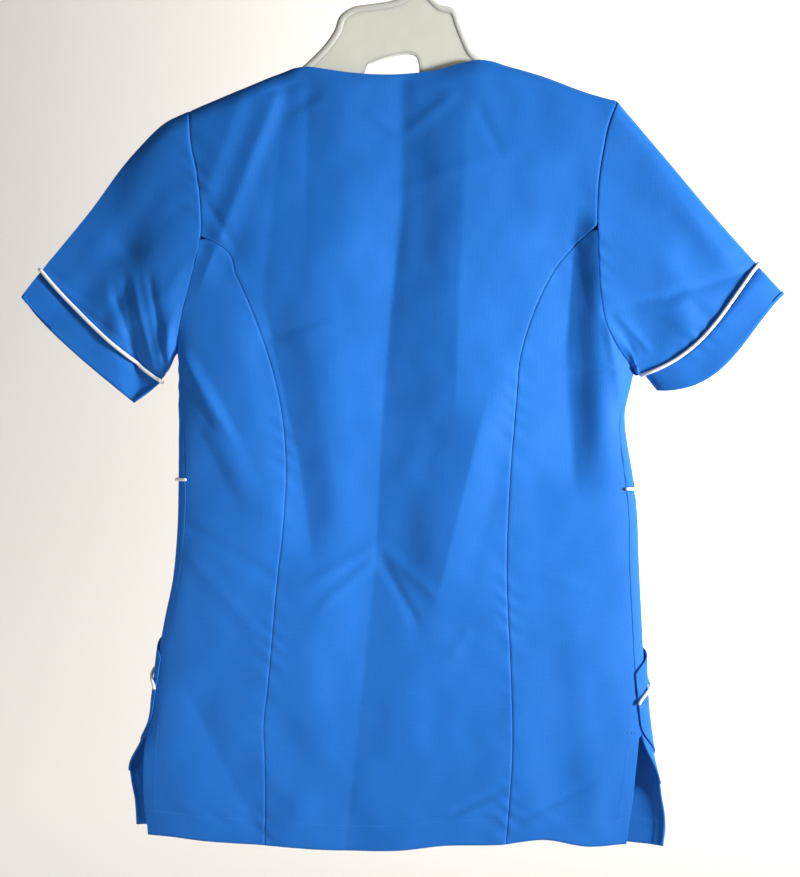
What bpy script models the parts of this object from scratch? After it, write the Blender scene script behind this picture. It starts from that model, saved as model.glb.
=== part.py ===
"""A royal blue nurse's uniform tunic that hangs on a moulded plastic hanger.

Metres, +Z up. The origin is the inside top of the hanger's hook, where a rail or a hook holds it.
The tunic's back faces -Y, and +X is the wearer's right. Left and right are the wearer's own.
"""

import math

import bmesh
import bpy
import numpy as np

WALL = 0.0012
SEAM_GAP = 0.0003

BODY_FLATNESS = 0.62
SHOULDER_ROLL = 0.016
NECK_STAND = 0.010
FLAP_LIFT = 0.35
FRONT_ARMHOLE_SCOOP = 0.008
UNDERARM_MARGIN = 0.0003
FOLD_FADE = 1.6
ROLL_SOFTNESS = 0.5

CUFF_PIPING_DIAMETER = 0.0034
CUFF_PIPING_STAND = 0.0008
FLAT_PIPING_DIAMETER = 0.0030
FLAT_PIPING_STAND = 0.0004

POCKET_WIDTH = 0.150
POCKET_BAND_HEIGHT = 0.027
POCKET_BOTTOM = -0.786
POCKET_STAND = 0.0028
POCKET_MOUTH_GAPE = 0.0075

HANGER_WEB_THICKNESS = 0.003
HANGER_RIM_DIAMETER = 0.0075
HOOK_DIAMETER = 0.0084
HOOK_INNER_RADIUS = 0.017
HOOK_STEM_BOTTOM, HOOK_STEM_TOP = -0.0497, -0.0437


def table(columns, *rows):
    """A short table, as one array for each named column."""
    return {name: np.array([row[i] for row in rows], float) for i, name in enumerate(columns)}


# The silhouette of the body on each side. Above the underarm it runs on inside the sleeve.
# seam_in is how far the side seam lies behind it, round the edge, towards the middle of the back.
LEFT_SIDE = table(
    ("height", "edge", "seam_in"),
    (-0.110, -0.232, 0.0),
    (-0.221, -0.231, 0.0),
    (-0.281, -0.225, 0.0),
    (-0.336, -0.214, 0.0),
    (-0.384, -0.2045, 0.0),
    (-0.428, -0.2035, 0.004),
    (-0.490, -0.2035, 0.0075),
    (-0.560, -0.2055, 0.007),
    (-0.594, -0.2090, 0.006),
    (-0.628, -0.2160, 0.005),
    (-0.653, -0.2205, 0.004),
    (-0.699, -0.2265, 0.003),
    (-0.726, -0.2310, 0.002),
    (-0.743, -0.2395, 0.002),
    (-0.762, -0.2490, 0.002),
    (-0.779, -0.2497, 0.002),
    (-0.803, -0.2463, 0.002),
    (-0.845, -0.2445, 0.002),
)
RIGHT_SIDE = table(
    ("height", "edge", "seam_in"),
    (-0.110, 0.240, 0.0),
    (-0.221, 0.238, 0.0),
    (-0.281, 0.233, 0.0),
    (-0.336, 0.226, 0.0),
    (-0.384, 0.2170, 0.0),
    (-0.402, 0.2150, 0.0),
    (-0.420, 0.2110, 0.002),
    (-0.438, 0.2070, 0.005),
    (-0.474, 0.2100, 0.008),
    (-0.500, 0.2145, 0.009),
    (-0.530, 0.2178, 0.009),
    (-0.575, 0.2195, 0.010),
    (-0.631, 0.2222, 0.010),
    (-0.663, 0.2237, 0.010),
    (-0.704, 0.2260, 0.009),
    (-0.735, 0.2300, 0.009),
    (-0.765, 0.2362, 0.009),
    (-0.790, 0.2425, 0.009),
    (-0.818, 0.2470, 0.009),
    (-0.845, 0.2445, 0.009),
)
# How far the cloth stands behind and before the hanger's plane at the middle.
DEPTHS = table(
    ("height", "back", "front"),
    (-0.110, 0.014, 0.014),
    (-0.170, 0.016, 0.018),
    (-0.221, 0.019, 0.024),
    (-0.281, 0.022, 0.030),
    (-0.350, 0.024, 0.034),
    (-0.428, 0.024, 0.032),
    (-0.510, 0.021, 0.026),
    (-0.600, 0.022, 0.027),
    (-0.700, 0.024, 0.029),
    (-0.845, 0.025, 0.030),
)
# The two curved back seams, each from its armhole to the hem.
BACK_LEFT_SEAM = table(
    ("height", "across"),
    (-0.279, -0.182),
    (-0.288, -0.164),
    (-0.316, -0.149),
    (-0.368, -0.127),
    (-0.428, -0.110),
    (-0.493, -0.104),
    (-0.539, -0.106),
    (-0.594, -0.112),
    (-0.686, -0.120),
    (-0.723, -0.124),
    (-0.760, -0.123),
    (-0.845, -0.123),
)
BACK_RIGHT_SEAM = table(
    ("height", "across"),
    (-0.269, 0.1795),
    (-0.286, 0.1610),
    (-0.307, 0.1430),
    (-0.332, 0.1290),
    (-0.359, 0.1180),
    (-0.387, 0.1100),
    (-0.428, 0.1060),
    (-0.520, 0.0990),
    (-0.575, 0.0970),
    (-0.686, 0.1010),
    (-0.741, 0.1020),
    (-0.845, 0.0950),
)
LEFT_ARMHOLE = table(
    ("height", "across"),
    (-0.163, -0.193),
    (-0.189, -0.192),
    (-0.221, -0.186),
    (-0.255, -0.182),
    (-0.279, -0.182),
    (-0.304, -0.187),
    (-0.327, -0.193),
    (-0.355, -0.2005),
    (-0.384, -0.2045),
)
RIGHT_ARMHOLE = table(
    ("height", "across"),
    (-0.1535, 0.1995),
    (-0.175, 0.1910),
    (-0.198, 0.1860),
    (-0.226, 0.1815),
    (-0.269, 0.1795),
    (-0.299, 0.1805),
    (-0.336, 0.1830),
    (-0.360, 0.1880),
    (-0.380, 0.1980),
    (-0.402, 0.2150),
)
# The top line from shoulder to shoulder, over the neckline of the back.
TOP_LINE = table(
    ("across", "height", "roll"),
    (-0.196, -0.1635, 1.0),
    (-0.138, -0.1392, 1.0),
    (-0.110, -0.1280, 1.0),
    (-0.097, -0.1243, 0.3),
    (-0.084, -0.1234, 0.0),
    (-0.068, -0.1256, 0.0),
    (-0.045, -0.1288, 0.0),
    (0.000, -0.1302, 0.0),
    (0.035, -0.1260, 0.0),
    (0.058, -0.1198, 0.0),
    (0.072, -0.1172, 0.0),
    (0.085, -0.1180, 0.3),
    (0.099, -0.1213, 1.0),
    (0.129, -0.1298, 1.0),
    (0.175, -0.1465, 1.0),
    (0.202, -0.1537, 1.0),
)
FRONT_NECK = table(
    ("height", "left", "right"),
    (-0.110, -0.084, 0.078),
    (-0.135, -0.079, 0.073),
    (-0.170, -0.064, 0.059),
    (-0.210, -0.042, 0.039),
    (-0.245, -0.020, 0.020),
    (-0.270, -0.001, 0.004),
)
NECK_POINTS = table(("across", "height"), (-0.084, -0.1234), (0.078, -0.1172))
VEE_BOTTOM = -0.270

BACK_HEM = table(
    ("across", "height"),
    (-0.250, -0.8250),
    (-0.228, -0.8252),
    (-0.205, -0.8264),
    (-0.184, -0.8290),
    (-0.125, -0.8328),
    (-0.050, -0.8376),
    (0.000, -0.8370),
    (0.040, -0.8328),
    (0.092, -0.8318),
    (0.130, -0.8278),
    (0.172, -0.8345),
    (0.205, -0.8330),
    (0.250, -0.8330),
)
FRONT_HEM = table(
    ("across", "height"),
    (-0.250, -0.8215),
    (-0.120, -0.8300),
    (0.000, -0.8330),
    (0.120, -0.8350),
    (0.205, -0.8390),
    (0.250, -0.8425),
)
# Where the back panels end below the top of each vent.
VENT_EDGES = table(
    ("height", "left", "right"),
    (-0.726, -0.2300, 0.2200),
    (-0.746, -0.2337, 0.2175),
    (-0.764, -0.2345, 0.2155),
    (-0.798, -0.2337, 0.2115),
    (-0.820, -0.2305, 0.2080),
    (-0.845, -0.2290, 0.2045),
)
FLAP_OPENS = 0.066
FLAP_ANGLE = math.radians(94)

# The levels of the body, as heights at its left and right sides, from the curved seams' tops down.
LEVELS = table(
    ("step", "left", "right"),
    (2, -0.279, -0.269),
    (3, -0.384, -0.402),
    (4, -0.501, -0.510),
    (5, -0.729, -0.735),
)
ROLL_END, WAIST = 1, 4

# Sections of each sleeve: the place of its top and underarm edges, how far it bows towards the
# cuff between them, and how far it stands behind and before its own plane. A skew above 1 moves
# the bow towards the underarm.
SLEEVE_COLUMNS = (
    "step",
    "top_across",
    "top_height",
    "under_across",
    "under_height",
    "bow",
    "skew",
    "depth",
)
SLEEVE_LEFT = table(
    SLEEVE_COLUMNS,
    (0.00, -0.1930, -0.1630, -0.2045, -0.3840, 0.000, 1.0, 0.014),
    (0.16, -0.2180, -0.1752, -0.2072, -0.3895, 0.000, 1.0, 0.017),
    (0.33, -0.2450, -0.2020, -0.2100, -0.3950, 0.000, 1.0, 0.019),
    (0.66, -0.2860, -0.2557, -0.2155, -0.4030, 0.003, 1.0, 0.019),
    (1.00, -0.3300, -0.3092, -0.2205, -0.4105, 0.005, 1.0, 0.017),
    (2.00, -0.3452, -0.3335, -0.2452, -0.4305, 0.006, 0.6, 0.016),
)
SLEEVE_RIGHT = table(
    SLEEVE_COLUMNS,
    (0.00, 0.1995, -0.1535, 0.2150, -0.4020, 0.000, 1.0, 0.014),
    (0.12, 0.2150, -0.1719, 0.2162, -0.4024, 0.001, 1.0, 0.016),
    (0.33, 0.2390, -0.2008, 0.2182, -0.4030, 0.004, 1.1, 0.019),
    (0.66, 0.2835, -0.2535, 0.2208, -0.4034, 0.008, 1.3, 0.020),
    (1.00, 0.3285, -0.3040, 0.2232, -0.4038, 0.0125, 1.5, 0.018),
    (2.00, 0.3535, -0.3305, 0.2366, -0.4195, 0.0190, 1.7, 0.017),
)

# The largest folds of the back: two ends, the width on each side, and the depth, out if positive.
BACK_FOLDS = table(
    ("from_across", "from_height", "to_across", "to_height", "left_width", "right_width", "depth"),
    (0.002, -0.140, -0.006, -0.420, 0.060, 0.060, -0.0048),
    (-0.006, -0.400, -0.050, -0.835, 0.050, 0.060, -0.0045),
    (-0.120, -0.360, -0.080, -0.560, 0.030, 0.035, -0.0050),
    (-0.125, -0.150, -0.185, -0.310, 0.020, 0.045, -0.0050),
    (0.087, -0.400, 0.034, -0.606, 0.050, 0.030, 0.0035),
    (0.158, -0.260, 0.160, -0.500, 0.050, 0.024, -0.0035),
    (0.187, -0.240, 0.191, -0.460, 0.028, 0.030, 0.0050),
    (-0.200, -0.390, -0.140, -0.510, 0.016, 0.018, 0.0040),
    (-0.120, -0.720, -0.060, -0.800, 0.030, 0.030, -0.0035),
    (0.130, -0.640, 0.150, -0.820, 0.035, 0.035, -0.0035),
)
FRONT_FOLDS = table(
    ("from_across", "from_height", "to_across", "to_height", "left_width", "right_width", "depth"),
    (-0.120, -0.340, -0.100, -0.480, 0.030, 0.030, -0.0045),
    (0.125, -0.340, 0.110, -0.480, 0.030, 0.030, -0.0045),
    (-0.020, -0.560, -0.030, -0.820, 0.040, 0.035, -0.0040),
    (0.030, -0.580, 0.025, -0.820, 0.035, 0.040, -0.0040),
)
FOLD_TAPER = 0.3

SLEEVE_FOLDS = table(
    ("facing", "step", "share", "step_reach", "share_reach", "depth"),
    (-1, 0.40, 0.78, 0.45, 0.14, -0.0035),
    (-1, 0.75, 0.60, 0.30, 0.12, 0.0025),
    (-1, 0.55, 0.30, 0.60, 0.16, -0.0025),
    (1, 0.50, 0.75, 0.45, 0.15, -0.0035),
    (1, 0.60, 0.35, 0.50, 0.16, -0.0025),
)

# The levels of the grids' rows. A whole number is a named level of the body.
ZONE_STEPS = {
    "roll": (0.0, 0.3, 0.6, 1.0),
    "yoke": (1.25, 1.5, 1.75, 2.0),
    "armhole": (2.03, 2.2, 2.4, 2.6, 2.8, 3.0),
    "chest": (3.25, 3.5, 3.75, 4.0),
    "skirt": (4.11, 4.22, 4.33, 4.44, 4.55, 4.66, 4.77, 4.89, 5.0),
    "vent": (5.15, 5.32, 5.54, 5.77, 6.0),
}
# The steps by which a sleeve's rings are evenly spaced, straight and at their own depth.
SLEEVE_EVEN_BY, SLEEVE_STRAIGHT_BY, SLEEVE_FULL_BY = 0.6, 0.8, 0.55
SLEEVE_STEPS = (0.0, 0.08, 0.2, 0.34, 0.5, 0.67, 0.84, 1.0)
CUFF_STEPS = (1.5, 2.0)
FRONT_COLUMN_CROWDING = 0.8
POCKET_COLUMN_CROWDING = 1.6
CENTRE_COLUMNS, SIDE_COLUMNS, FRONT_COLUMNS, POCKET_COLUMNS = 14, 5, 14, 9
POCKET_ROWS, BAND_ROWS = 9, 2
WAIST_PIPING_POINTS, WAIST_PIPING_END = 18, 0.02
SOLVER_ROUNDS = 14
SLOPE_TURN, SLOPE_DROP = 0.004, 0.00001

POCKET_MOUTHS = table(
    ("at_seam", "at_inner_edge"),
    (-0.6650, -0.6120),
    (-0.6785, -0.6240),
)
POCKET_MOUTH_CURVE = 0.75
# In radians round the body: how far a pocket's edge keeps off the seam, and off the open flap.
POCKET_EDGE_TURN, POCKET_SET_IN_TURN = 0.004, 0.33
POCKET_SET_IN_ABOVE, POCKET_SET_IN_REACH = 0.010, 0.045
# The shares of the mouth over which it closes at its ends, and how fast the gape fades below.
POCKET_SEAM_END, POCKET_INNER_END, POCKET_GAPE_FADE = 0.55, 0.3, 1.3

WEB_LEFT = table(
    ("across", "height"),
    (-0.0895, -0.1262),
    (-0.0815, -0.1190),
    (-0.0665, -0.1035),
    (-0.0568, -0.0890),
    (-0.0520, -0.0765),
    (-0.0445, -0.0712),
    (-0.0240, -0.0672),
    (-0.0040, -0.0635),
    (0.0065, -0.0585),
    (0.0120, -0.0540),
)
WEB_RIGHT = table(
    ("across", "height"),
    (0.0225, -0.0540),
    (0.0280, -0.0600),
    (0.0360, -0.0675),
    (0.0478, -0.0712),
    (0.0533, -0.0845),
    (0.0590, -0.0985),
    (0.0640, -0.1090),
    (0.0740, -0.1185),
)
WEB_BOTTOM = table(
    ("across", "height"),
    (0.0660, -0.1480),
    (0.0300, -0.1630),
    (-0.0050, -0.1680),
    (-0.0400, -0.1650),
    (-0.0760, -0.1520),
)
WEB_WINDOW = table(
    ("across", "height"),
    (-0.0300, -0.1190),
    (-0.0130, -0.1125),
    (0.0160, -0.1118),
    (0.0190, -0.1290),
    (0.0120, -0.1480),
    (-0.0200, -0.1500),
    (-0.0350, -0.1380),
    (-0.0300, -0.1190),
)
NECK_TOP = ((0.0130, -0.0500), (0.0215, -0.0500))
HANGER_REACH = 0.170
HANGER_ARM_STARTS, HANGER_ARM_POINTS, HANGER_TIP_SHARE = (-0.098, 0.083), 6, 0.3
HANGER_ARM_DROP = 0.0060
HANGER_ARM_HEIGHT = 0.013
HOOK_START, HOOK_END, HOOK_POINTS = -25.0, 205.0, 20
HOOK_STEM_ACROSS = 0.0172
BAR_RESOLUTION = 2

CLOTH_BLUE = (0.022, 0.155, 0.560)
CLOTH_ROUGHNESS = 0.75
PIPING_WHITE = (0.80, 0.83, 0.86)
HANGER_MILKY = (0.70, 0.70, 0.62)


def curve_value(columns, key, column, at):
    """The column's value at a place of the key column, on a smooth curve through the rows."""
    keys, values = columns[key], columns[column]
    if keys[0] > keys[-1]:
        keys, values = keys[::-1], values[::-1]
    slopes = np.gradient(values, keys)
    place = np.clip(at, keys[0], keys[-1])
    row = np.clip(np.searchsorted(keys, place) - 1, 0, len(keys) - 2)
    span = keys[row + 1] - keys[row]
    part = (place - keys[row]) / span
    before, after = values[row], values[row + 1]
    return (
        before * (1 + 2 * part) * (1 - part) ** 2
        + slopes[row] * span * part * (1 - part) ** 2
        + after * part**2 * (3 - 2 * part)
        - slopes[row + 1] * span * part**2 * (1 - part)
    )


def ease(part):
    """From 0 to 1, with a flat start and end."""
    part = np.clip(part, 0.0, 1.0)
    return part * part * (3 - 2 * part)


def name_of(side):
    return "left" if side < 0 else "right"


def sides(height):
    """The body's middle and half width at a height."""
    left = curve_value(LEFT_SIDE, "height", "edge", height)
    right = curve_value(RIGHT_SIDE, "height", "edge", height)
    return (left + right) / 2, (right - left) / 2


def back_angle(across, height):
    """The angle round the body of a place on its back: 0 at the middle, and out to the sides."""
    middle, half = sides(height)
    return np.arcsin(np.clip((across - middle) / half, -1, 1))


def front_angle(across, height):
    """The same on the front: half a turn at the middle."""
    behind = back_angle(across, height)
    return np.where(behind < 0, -math.pi - behind, math.pi - behind)


def top_height(across, on_front):
    """The height of the top line. On the front it runs on level between the neck points."""
    line = curve_value(TOP_LINE, "across", "height", across)
    at_neck = (across > NECK_POINTS["across"][0]) & (across < NECK_POINTS["across"][1])
    level = np.interp(across, NECK_POINTS["across"], NECK_POINTS["height"])
    return np.where(at_neck & on_front, level, line)


def level_height(step, across, on_front):
    """The height of a level: 0 is the top line, 2 to 5 are in LEVELS, and 6 is the hem."""
    middle, half = sides(LEVELS["left"][1])
    share = np.clip((across - middle) / half, -1, 1) / 2 + 0.5
    top = top_height(across, on_front)
    hem = curve_value(FRONT_HEM if on_front else BACK_HEM, "across", "height", across)
    between = [left + (right - left) * share for left, right in zip(LEVELS["left"], LEVELS["right"])]
    marks = [top - SHOULDER_ROLL, *between, hem]
    result = top - SHOULDER_ROLL * (1 - np.cos(math.pi / 2 * np.clip(step, 0, ROLL_END)))
    for above, (start, end) in enumerate(zip(marks, marks[1:])):
        part = step - ROLL_END - above
        result = np.where(part > 0, start + (end - start) * part, result)
    return result


def fold_depth(folds, across, height):
    """How far the folds move the cloth out at a place of the body."""
    total = 0.0
    for row, depth in enumerate(folds["depth"]):
        start_across, start_height = folds["from_across"][row], folds["from_height"][row]
        run_across = folds["to_across"][row] - start_across
        run_height = folds["to_height"][row] - start_height
        length = math.hypot(run_across, run_height)
        off_across, off_height = across - start_across, height - start_height
        along = (off_across * run_across + off_height * run_height) / length**2
        beside = (off_height * run_across - off_across * run_height) / length
        width = np.where(beside > 0, folds["right_width"][row], folds["left_width"][row])
        bell = np.clip(1 - (beside / width) ** 2, 0, 1) ** 2
        ends = ease(along / FOLD_TAPER + 0.5) * ease((1 - along) / FOLD_TAPER + 0.5)
        total = total + depth * bell * ends
    return total


def body_at(angle, height, on_front):
    """A point of the body's outer face at an angle round it and a height."""
    middle, half = sides(height)
    across = middle + half * np.sin(angle)
    faces_front = np.abs(angle) > math.pi / 2
    crown = np.abs(np.cos(angle)) ** BODY_FLATNESS
    vent_top = np.where(across < middle, LEVELS["left"][-1], LEVELS["right"][-1])
    lift = FLAP_LIFT * ease((vent_top - height) / FLAP_OPENS)
    faded = ease(crown * FOLD_FADE)
    back = curve_value(DEPTHS, "height", "back", height) * crown
    back = back + fold_depth(BACK_FOLDS, across, height) * faded
    front = curve_value(DEPTHS, "height", "front", height) * (lift + (1 - lift) * crown)
    front = front + fold_depth(FRONT_FOLDS, across, height) * faded
    drop = np.clip((top_height(across, on_front) - height) / SHOULDER_ROLL, 0, 1)
    roll = np.clip(curve_value(TOP_LINE, "across", "roll", across), 0, 1)
    rise = np.clip(1 - (1 - drop) ** 2, 0, 1) ** (1 - ROLL_SOFTNESS * roll)
    stand = NECK_STAND * (1 - roll)
    depth = stand + (np.where(faces_front, front, back) - stand) * rise
    depth = np.where(faces_front, depth, -depth)
    return np.stack(np.broadcast_arrays(across, depth, height), axis=-1)


def seam_angle(side, height):
    """The side seam: on the silhouette at the underarm, and behind it lower down."""
    columns = LEFT_SIDE if side < 0 else RIGHT_SIDE
    edge = curve_value(columns, "height", "edge", height)
    inset = np.maximum(curve_value(columns, "height", "seam_in", height), 0)
    return back_angle(edge - side * inset, height)


def armhole_across(side, height, scoop):
    """The armhole's place across the body, cut in further at its middle by the scoop."""
    armhole = LEFT_ARMHOLE if side < 0 else RIGHT_ARMHOLE
    heights = armhole["height"]
    part = np.clip((height - heights[0]) / (heights[-1] - heights[0]), 0, 1)
    return curve_value(armhole, "height", "across", height) - side * scoop * np.sin(math.pi * part)


def underarm_height(side):
    """The height below which the panels' outer edges follow the side seam."""
    return (LEFT_ARMHOLE if side < 0 else RIGHT_ARMHOLE)["height"][-1] + UNDERARM_MARGIN


def vent_height(side):
    return LEVELS[name_of(side)][-1]


def back_outer(side, height):
    """The back's outer edge: the armhole, then the side seam, then the vent."""
    armhole = back_angle(armhole_across(side, height, 0.0), height)
    vent = back_angle(curve_value(VENT_EDGES, "height", name_of(side), height), height)
    lower = np.where(height < vent_height(side), vent, seam_angle(side, height))
    return np.where(height > underarm_height(side), armhole, lower)


def back_seam(side, height):
    """The curved back seam, with the armhole above it."""
    seam = BACK_LEFT_SEAM if side < 0 else BACK_RIGHT_SEAM
    lower = curve_value(seam, "height", "across", height)
    upper = armhole_across(side, height, 0.0)
    return back_angle(np.where(height > seam["height"][0], upper, lower), height)


def front_outer(side, height):
    """The front's outer edge: a scooped armhole, then the side seam, then the free flap."""
    armhole = front_angle(armhole_across(side, height, FRONT_ARMHOLE_SCOOP), height)
    start = seam_angle(side, vent_height(side))
    opened = ease((vent_height(side) - height) / FLAP_OPENS)
    flap = start + (side * FLAP_ANGLE - start) * opened
    lower = np.where(height < vent_height(side), flap, seam_angle(side, height))
    return np.where(height > underarm_height(side), armhole, lower)


def front_inner(side, height):
    """The front's inner edge: the neckline, then the closed middle."""
    across = curve_value(FRONT_NECK, "height", name_of(side), height)
    return np.where(height > VEE_BOTTOM, front_angle(across, height), side * math.pi)


def panel_grid(first_edge, second_edge, shares, steps, on_front):
    """A panel's points from its first edge to its second, a row for each level."""
    shares, steps = np.asarray(shares)[None, :], np.asarray(steps)[:, None]
    across = np.zeros((steps.size, shares.size))
    for _ in range(SOLVER_ROUNDS):
        height = level_height(steps, across, on_front)
        angle = first_edge(height) * (1 - shares) + second_edge(height) * shares
        middle, half = sides(height)
        across = middle + half * np.sin(angle)
    return body_at(angle, height, on_front), body_normal(angle, height, on_front)


def body_normal(angle, height, on_front):
    """The direction out of the body's outer face."""
    ahead, behind = (body_at(angle + turn, height, on_front) for turn in (SLOPE_TURN, -SLOPE_TURN))
    rise = body_at(angle, height, on_front) - body_at(angle, height - SLOPE_DROP, on_front)
    normal = np.cross(ahead - behind, rise)
    return normal / np.linalg.norm(normal, axis=-1, keepdims=True)


def armhole_loop(side, steps):
    """The armhole's points and directions down the back, and down the front, at the same levels."""

    def back_edge(height):
        return back_outer(side, height)

    def front_edge(height):
        return front_outer(side, height)

    back = panel_grid(back_edge, back_edge, [0.0], steps, False)
    front = panel_grid(front_edge, front_edge, [0.0], steps, True)
    return [[values[:, 0] for values in half] for half in (back, front)]


def section_line(value, share, side):
    """Places down a sleeve's section, across and up, bowed towards the cuff."""
    top = np.array((value["top_across"], value["top_height"]))
    run = np.array((value["under_across"], value["under_height"])) - top
    out = np.array((run[1], -run[0])) / math.hypot(*run)
    out = out * np.sign(out[0] * side)
    skewed = share ** value["skew"]
    bow = value["bow"] * 4 * skewed * (1 - skewed)
    return top + np.outer(share, run) + np.outer(bow, out)


def sleeve_fold(step, share, facing):
    """How far the sleeve's folds move its cloth out."""
    total = np.zeros(np.shape(share))
    for row, depth in enumerate(SLEEVE_FOLDS["depth"]):
        if SLEEVE_FOLDS["facing"][row] != facing:
            continue
        along = (step - SLEEVE_FOLDS["step"][row]) / SLEEVE_FOLDS["step_reach"][row]
        beside = (share - SLEEVE_FOLDS["share"][row]) / SLEEVE_FOLDS["share_reach"][row]
        near = np.clip(1 - along**2, 0, 1) * np.clip(1 - beside**2, 0, 1)
        total = total + depth * near**2
    return total


def ring_directions(grid):
    """The directions out of a sleeve's grid of closed rings."""
    round_it = np.roll(grid, -1, axis=1) - np.roll(grid, 1, axis=1)
    normal = np.cross(round_it, np.gradient(grid, axis=0))
    normal = normal / np.linalg.norm(normal, axis=-1, keepdims=True)
    away = grid - grid.mean(axis=1, keepdims=True)
    return normal * np.sign((normal * away).sum())


def sleeve_grid(side, sleeve_steps, armhole_steps):
    """A closed ring for each step from the armhole, 0, past the piping, 1, to the cuff's edge, 2."""
    section = SLEEVE_LEFT if side < 0 else SLEEVE_RIGHT
    loops = armhole_loop(side, armhole_steps)
    count = len(armhole_steps) - 1
    even = (1 - np.cos(np.pi * np.arange(count + 1) / count)) / 2
    begin = {name: values[0] for name, values in section.items()}
    rings = []
    for step in sleeve_steps:
        value = {name: curve_value(section, "step", name, step) for name in section}
        halves = []
        for (loop, _directions), facing in zip(loops, (-1, 1)):
            walked = np.cumsum(np.linalg.norm(np.diff(loop, axis=0, prepend=loop[:1]), axis=1))
            own = walked / walked[-1]
            share = own + (even - own) * ease(step / SLEEVE_EVEN_BY) ** 2
            miss = loop[:, [0, 2]] - section_line(begin, own, side)
            place = section_line(value, share, side) + miss * (1 - ease(step / SLEEVE_STRAIGHT_BY))
            crown = np.clip(1 - (2 * share - 1) ** 2, 0, 1) ** (BODY_FLATNESS / 2)
            settled = value["depth"] * crown + sleeve_fold(step, share, facing) * crown
            blend = ease(step / SLEEVE_FULL_BY)
            depth = loop[:, 1] * (1 - blend) + facing * settled * blend
            halves.append(np.stack([place[:, 0], depth, place[:, 1]], axis=-1))
        rings.append(np.concatenate([halves[0], halves[1][-2:0:-1]]))
    directions = ring_directions(np.array(rings))
    directions[0] = np.concatenate([loops[0][1], loops[1][1][-2:0:-1]])
    return np.array(rings), directions


def mouth_height(side, share):
    """The slanted top of a pocket, from the side seam, 0, to its inner edge, 1."""
    row = 0 if side < 0 else 1
    start, end = POCKET_MOUTHS["at_seam"][row], POCKET_MOUTHS["at_inner_edge"][row]
    return start + (end - start) * share**POCKET_MOUTH_CURVE


def pocket_grid(side, shares, drops, lower):
    """Points of a pocket's band, or of the pocket below it, outside the front's cloth."""
    shares, drops = np.asarray(shares)[None, :], np.asarray(drops)[:, None]
    mouth = mouth_height(side, shares)
    seam = mouth - POCKET_BAND_HEIGHT
    height = seam + (POCKET_BOTTOM - seam) * drops if lower else mouth + (seam - mouth) * drops
    outer = front_outer(side, height)
    middle, half = sides(height)
    inner = front_angle(middle + side * (half - POCKET_WIDTH), height)
    into_vent = ease((vent_height(side) + POCKET_SET_IN_ABOVE - height) / POCKET_SET_IN_REACH)
    outer = outer + side * (POCKET_EDGE_TURN + POCKET_SET_IN_TURN * into_vent)
    angle = outer + (inner - outer) * shares
    down = (mouth - height) / (mouth - POCKET_BOTTOM)
    ends = ease(shares / POCKET_SEAM_END) * ease((1 - shares) / POCKET_INNER_END)
    gape = POCKET_MOUTH_GAPE * ends * (1 - down) ** POCKET_GAPE_FADE
    normal = body_normal(angle, height, True)
    return body_at(angle, height, True) + normal * (POCKET_STAND + gape)[..., None], normal


def pulled_in(grid, gap, closed):
    """The grid with each open edge moved in by half the gap between two pieces."""
    points = grid.copy()

    def pull(edge, inner, is_ring):
        run = np.roll(edge, -1, 0) - np.roll(edge, 1, 0) if is_ring else np.gradient(edge, axis=0)
        run = run / np.linalg.norm(run, axis=1, keepdims=True)
        reach = inner - edge
        reach = reach - (reach * run).sum(axis=1, keepdims=True) * run
        return gap / 2 * reach / np.linalg.norm(reach, axis=1, keepdims=True)

    points[0] += pull(grid[0], grid[1], closed)
    points[-1] += pull(grid[-1], grid[-2], closed)
    if not closed:
        points[:, 0] += pull(grid[:, 0], grid[:, 1], False)
        points[:, -1] += pull(grid[:, -1], grid[:, -2], False)
    return points


def plain_material(name, colour, roughness):
    """A Principled material of one colour."""
    material = bpy.data.materials.new(name)
    material.use_nodes = True
    shader = material.node_tree.nodes["Principled BSDF"]
    shader.inputs["Base Color"].default_value = (*colour, 1.0)
    shader.inputs["Roughness"].default_value = roughness
    material.diffuse_color = (*colour, 1.0)
    return material


def cloth_piece(name, grid, directions, collection, closed=False):
    """A cloth wall: the grid's points outside, the same points a wall further in, and its edges."""
    outer = pulled_in(grid, SEAM_GAP, closed)
    inner = outer - WALL * directions
    rows, columns = outer.shape[:2]
    shape = bmesh.new()
    faces = []
    layers = [
        [[shape.verts.new(layer[row, column]) for column in range(columns)] for row in range(rows)]
        for layer in (outer, inner)
    ]
    for layer in layers:
        for row in range(rows - 1):
            for column in range(columns if closed else columns - 1):
                after = (column + 1) % columns
                upper, lower = layer[row], layer[row + 1]
                faces.append((upper[column], lower[column], lower[after], upper[after]))
    edges = [([layer[0] for layer in layers]), ([layer[-1] for layer in layers])]
    if not closed:
        edges += [[[line[end] for line in layer] for layer in layers] for end in (0, -1)]
    for outside, inside in edges:
        count = len(outside) if closed else len(outside) - 1
        for spot in range(count):
            after = (spot + 1) % len(outside)
            faces.append((outside[spot], outside[after], inside[after], inside[spot]))
    for face in faces:
        shape.faces.new(face)
    bmesh.ops.recalc_face_normals(shape, faces=shape.faces)
    mesh = bpy.data.meshes.new(name)
    shape.to_mesh(mesh)
    shape.free()
    mesh.shade_smooth()
    mesh.materials.append(plain_material(f"{name}_cloth", CLOTH_BLUE, CLOTH_ROUGHNESS))
    piece = bpy.data.objects.new(name, mesh)
    collection.objects.link(piece)
    return piece


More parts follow.
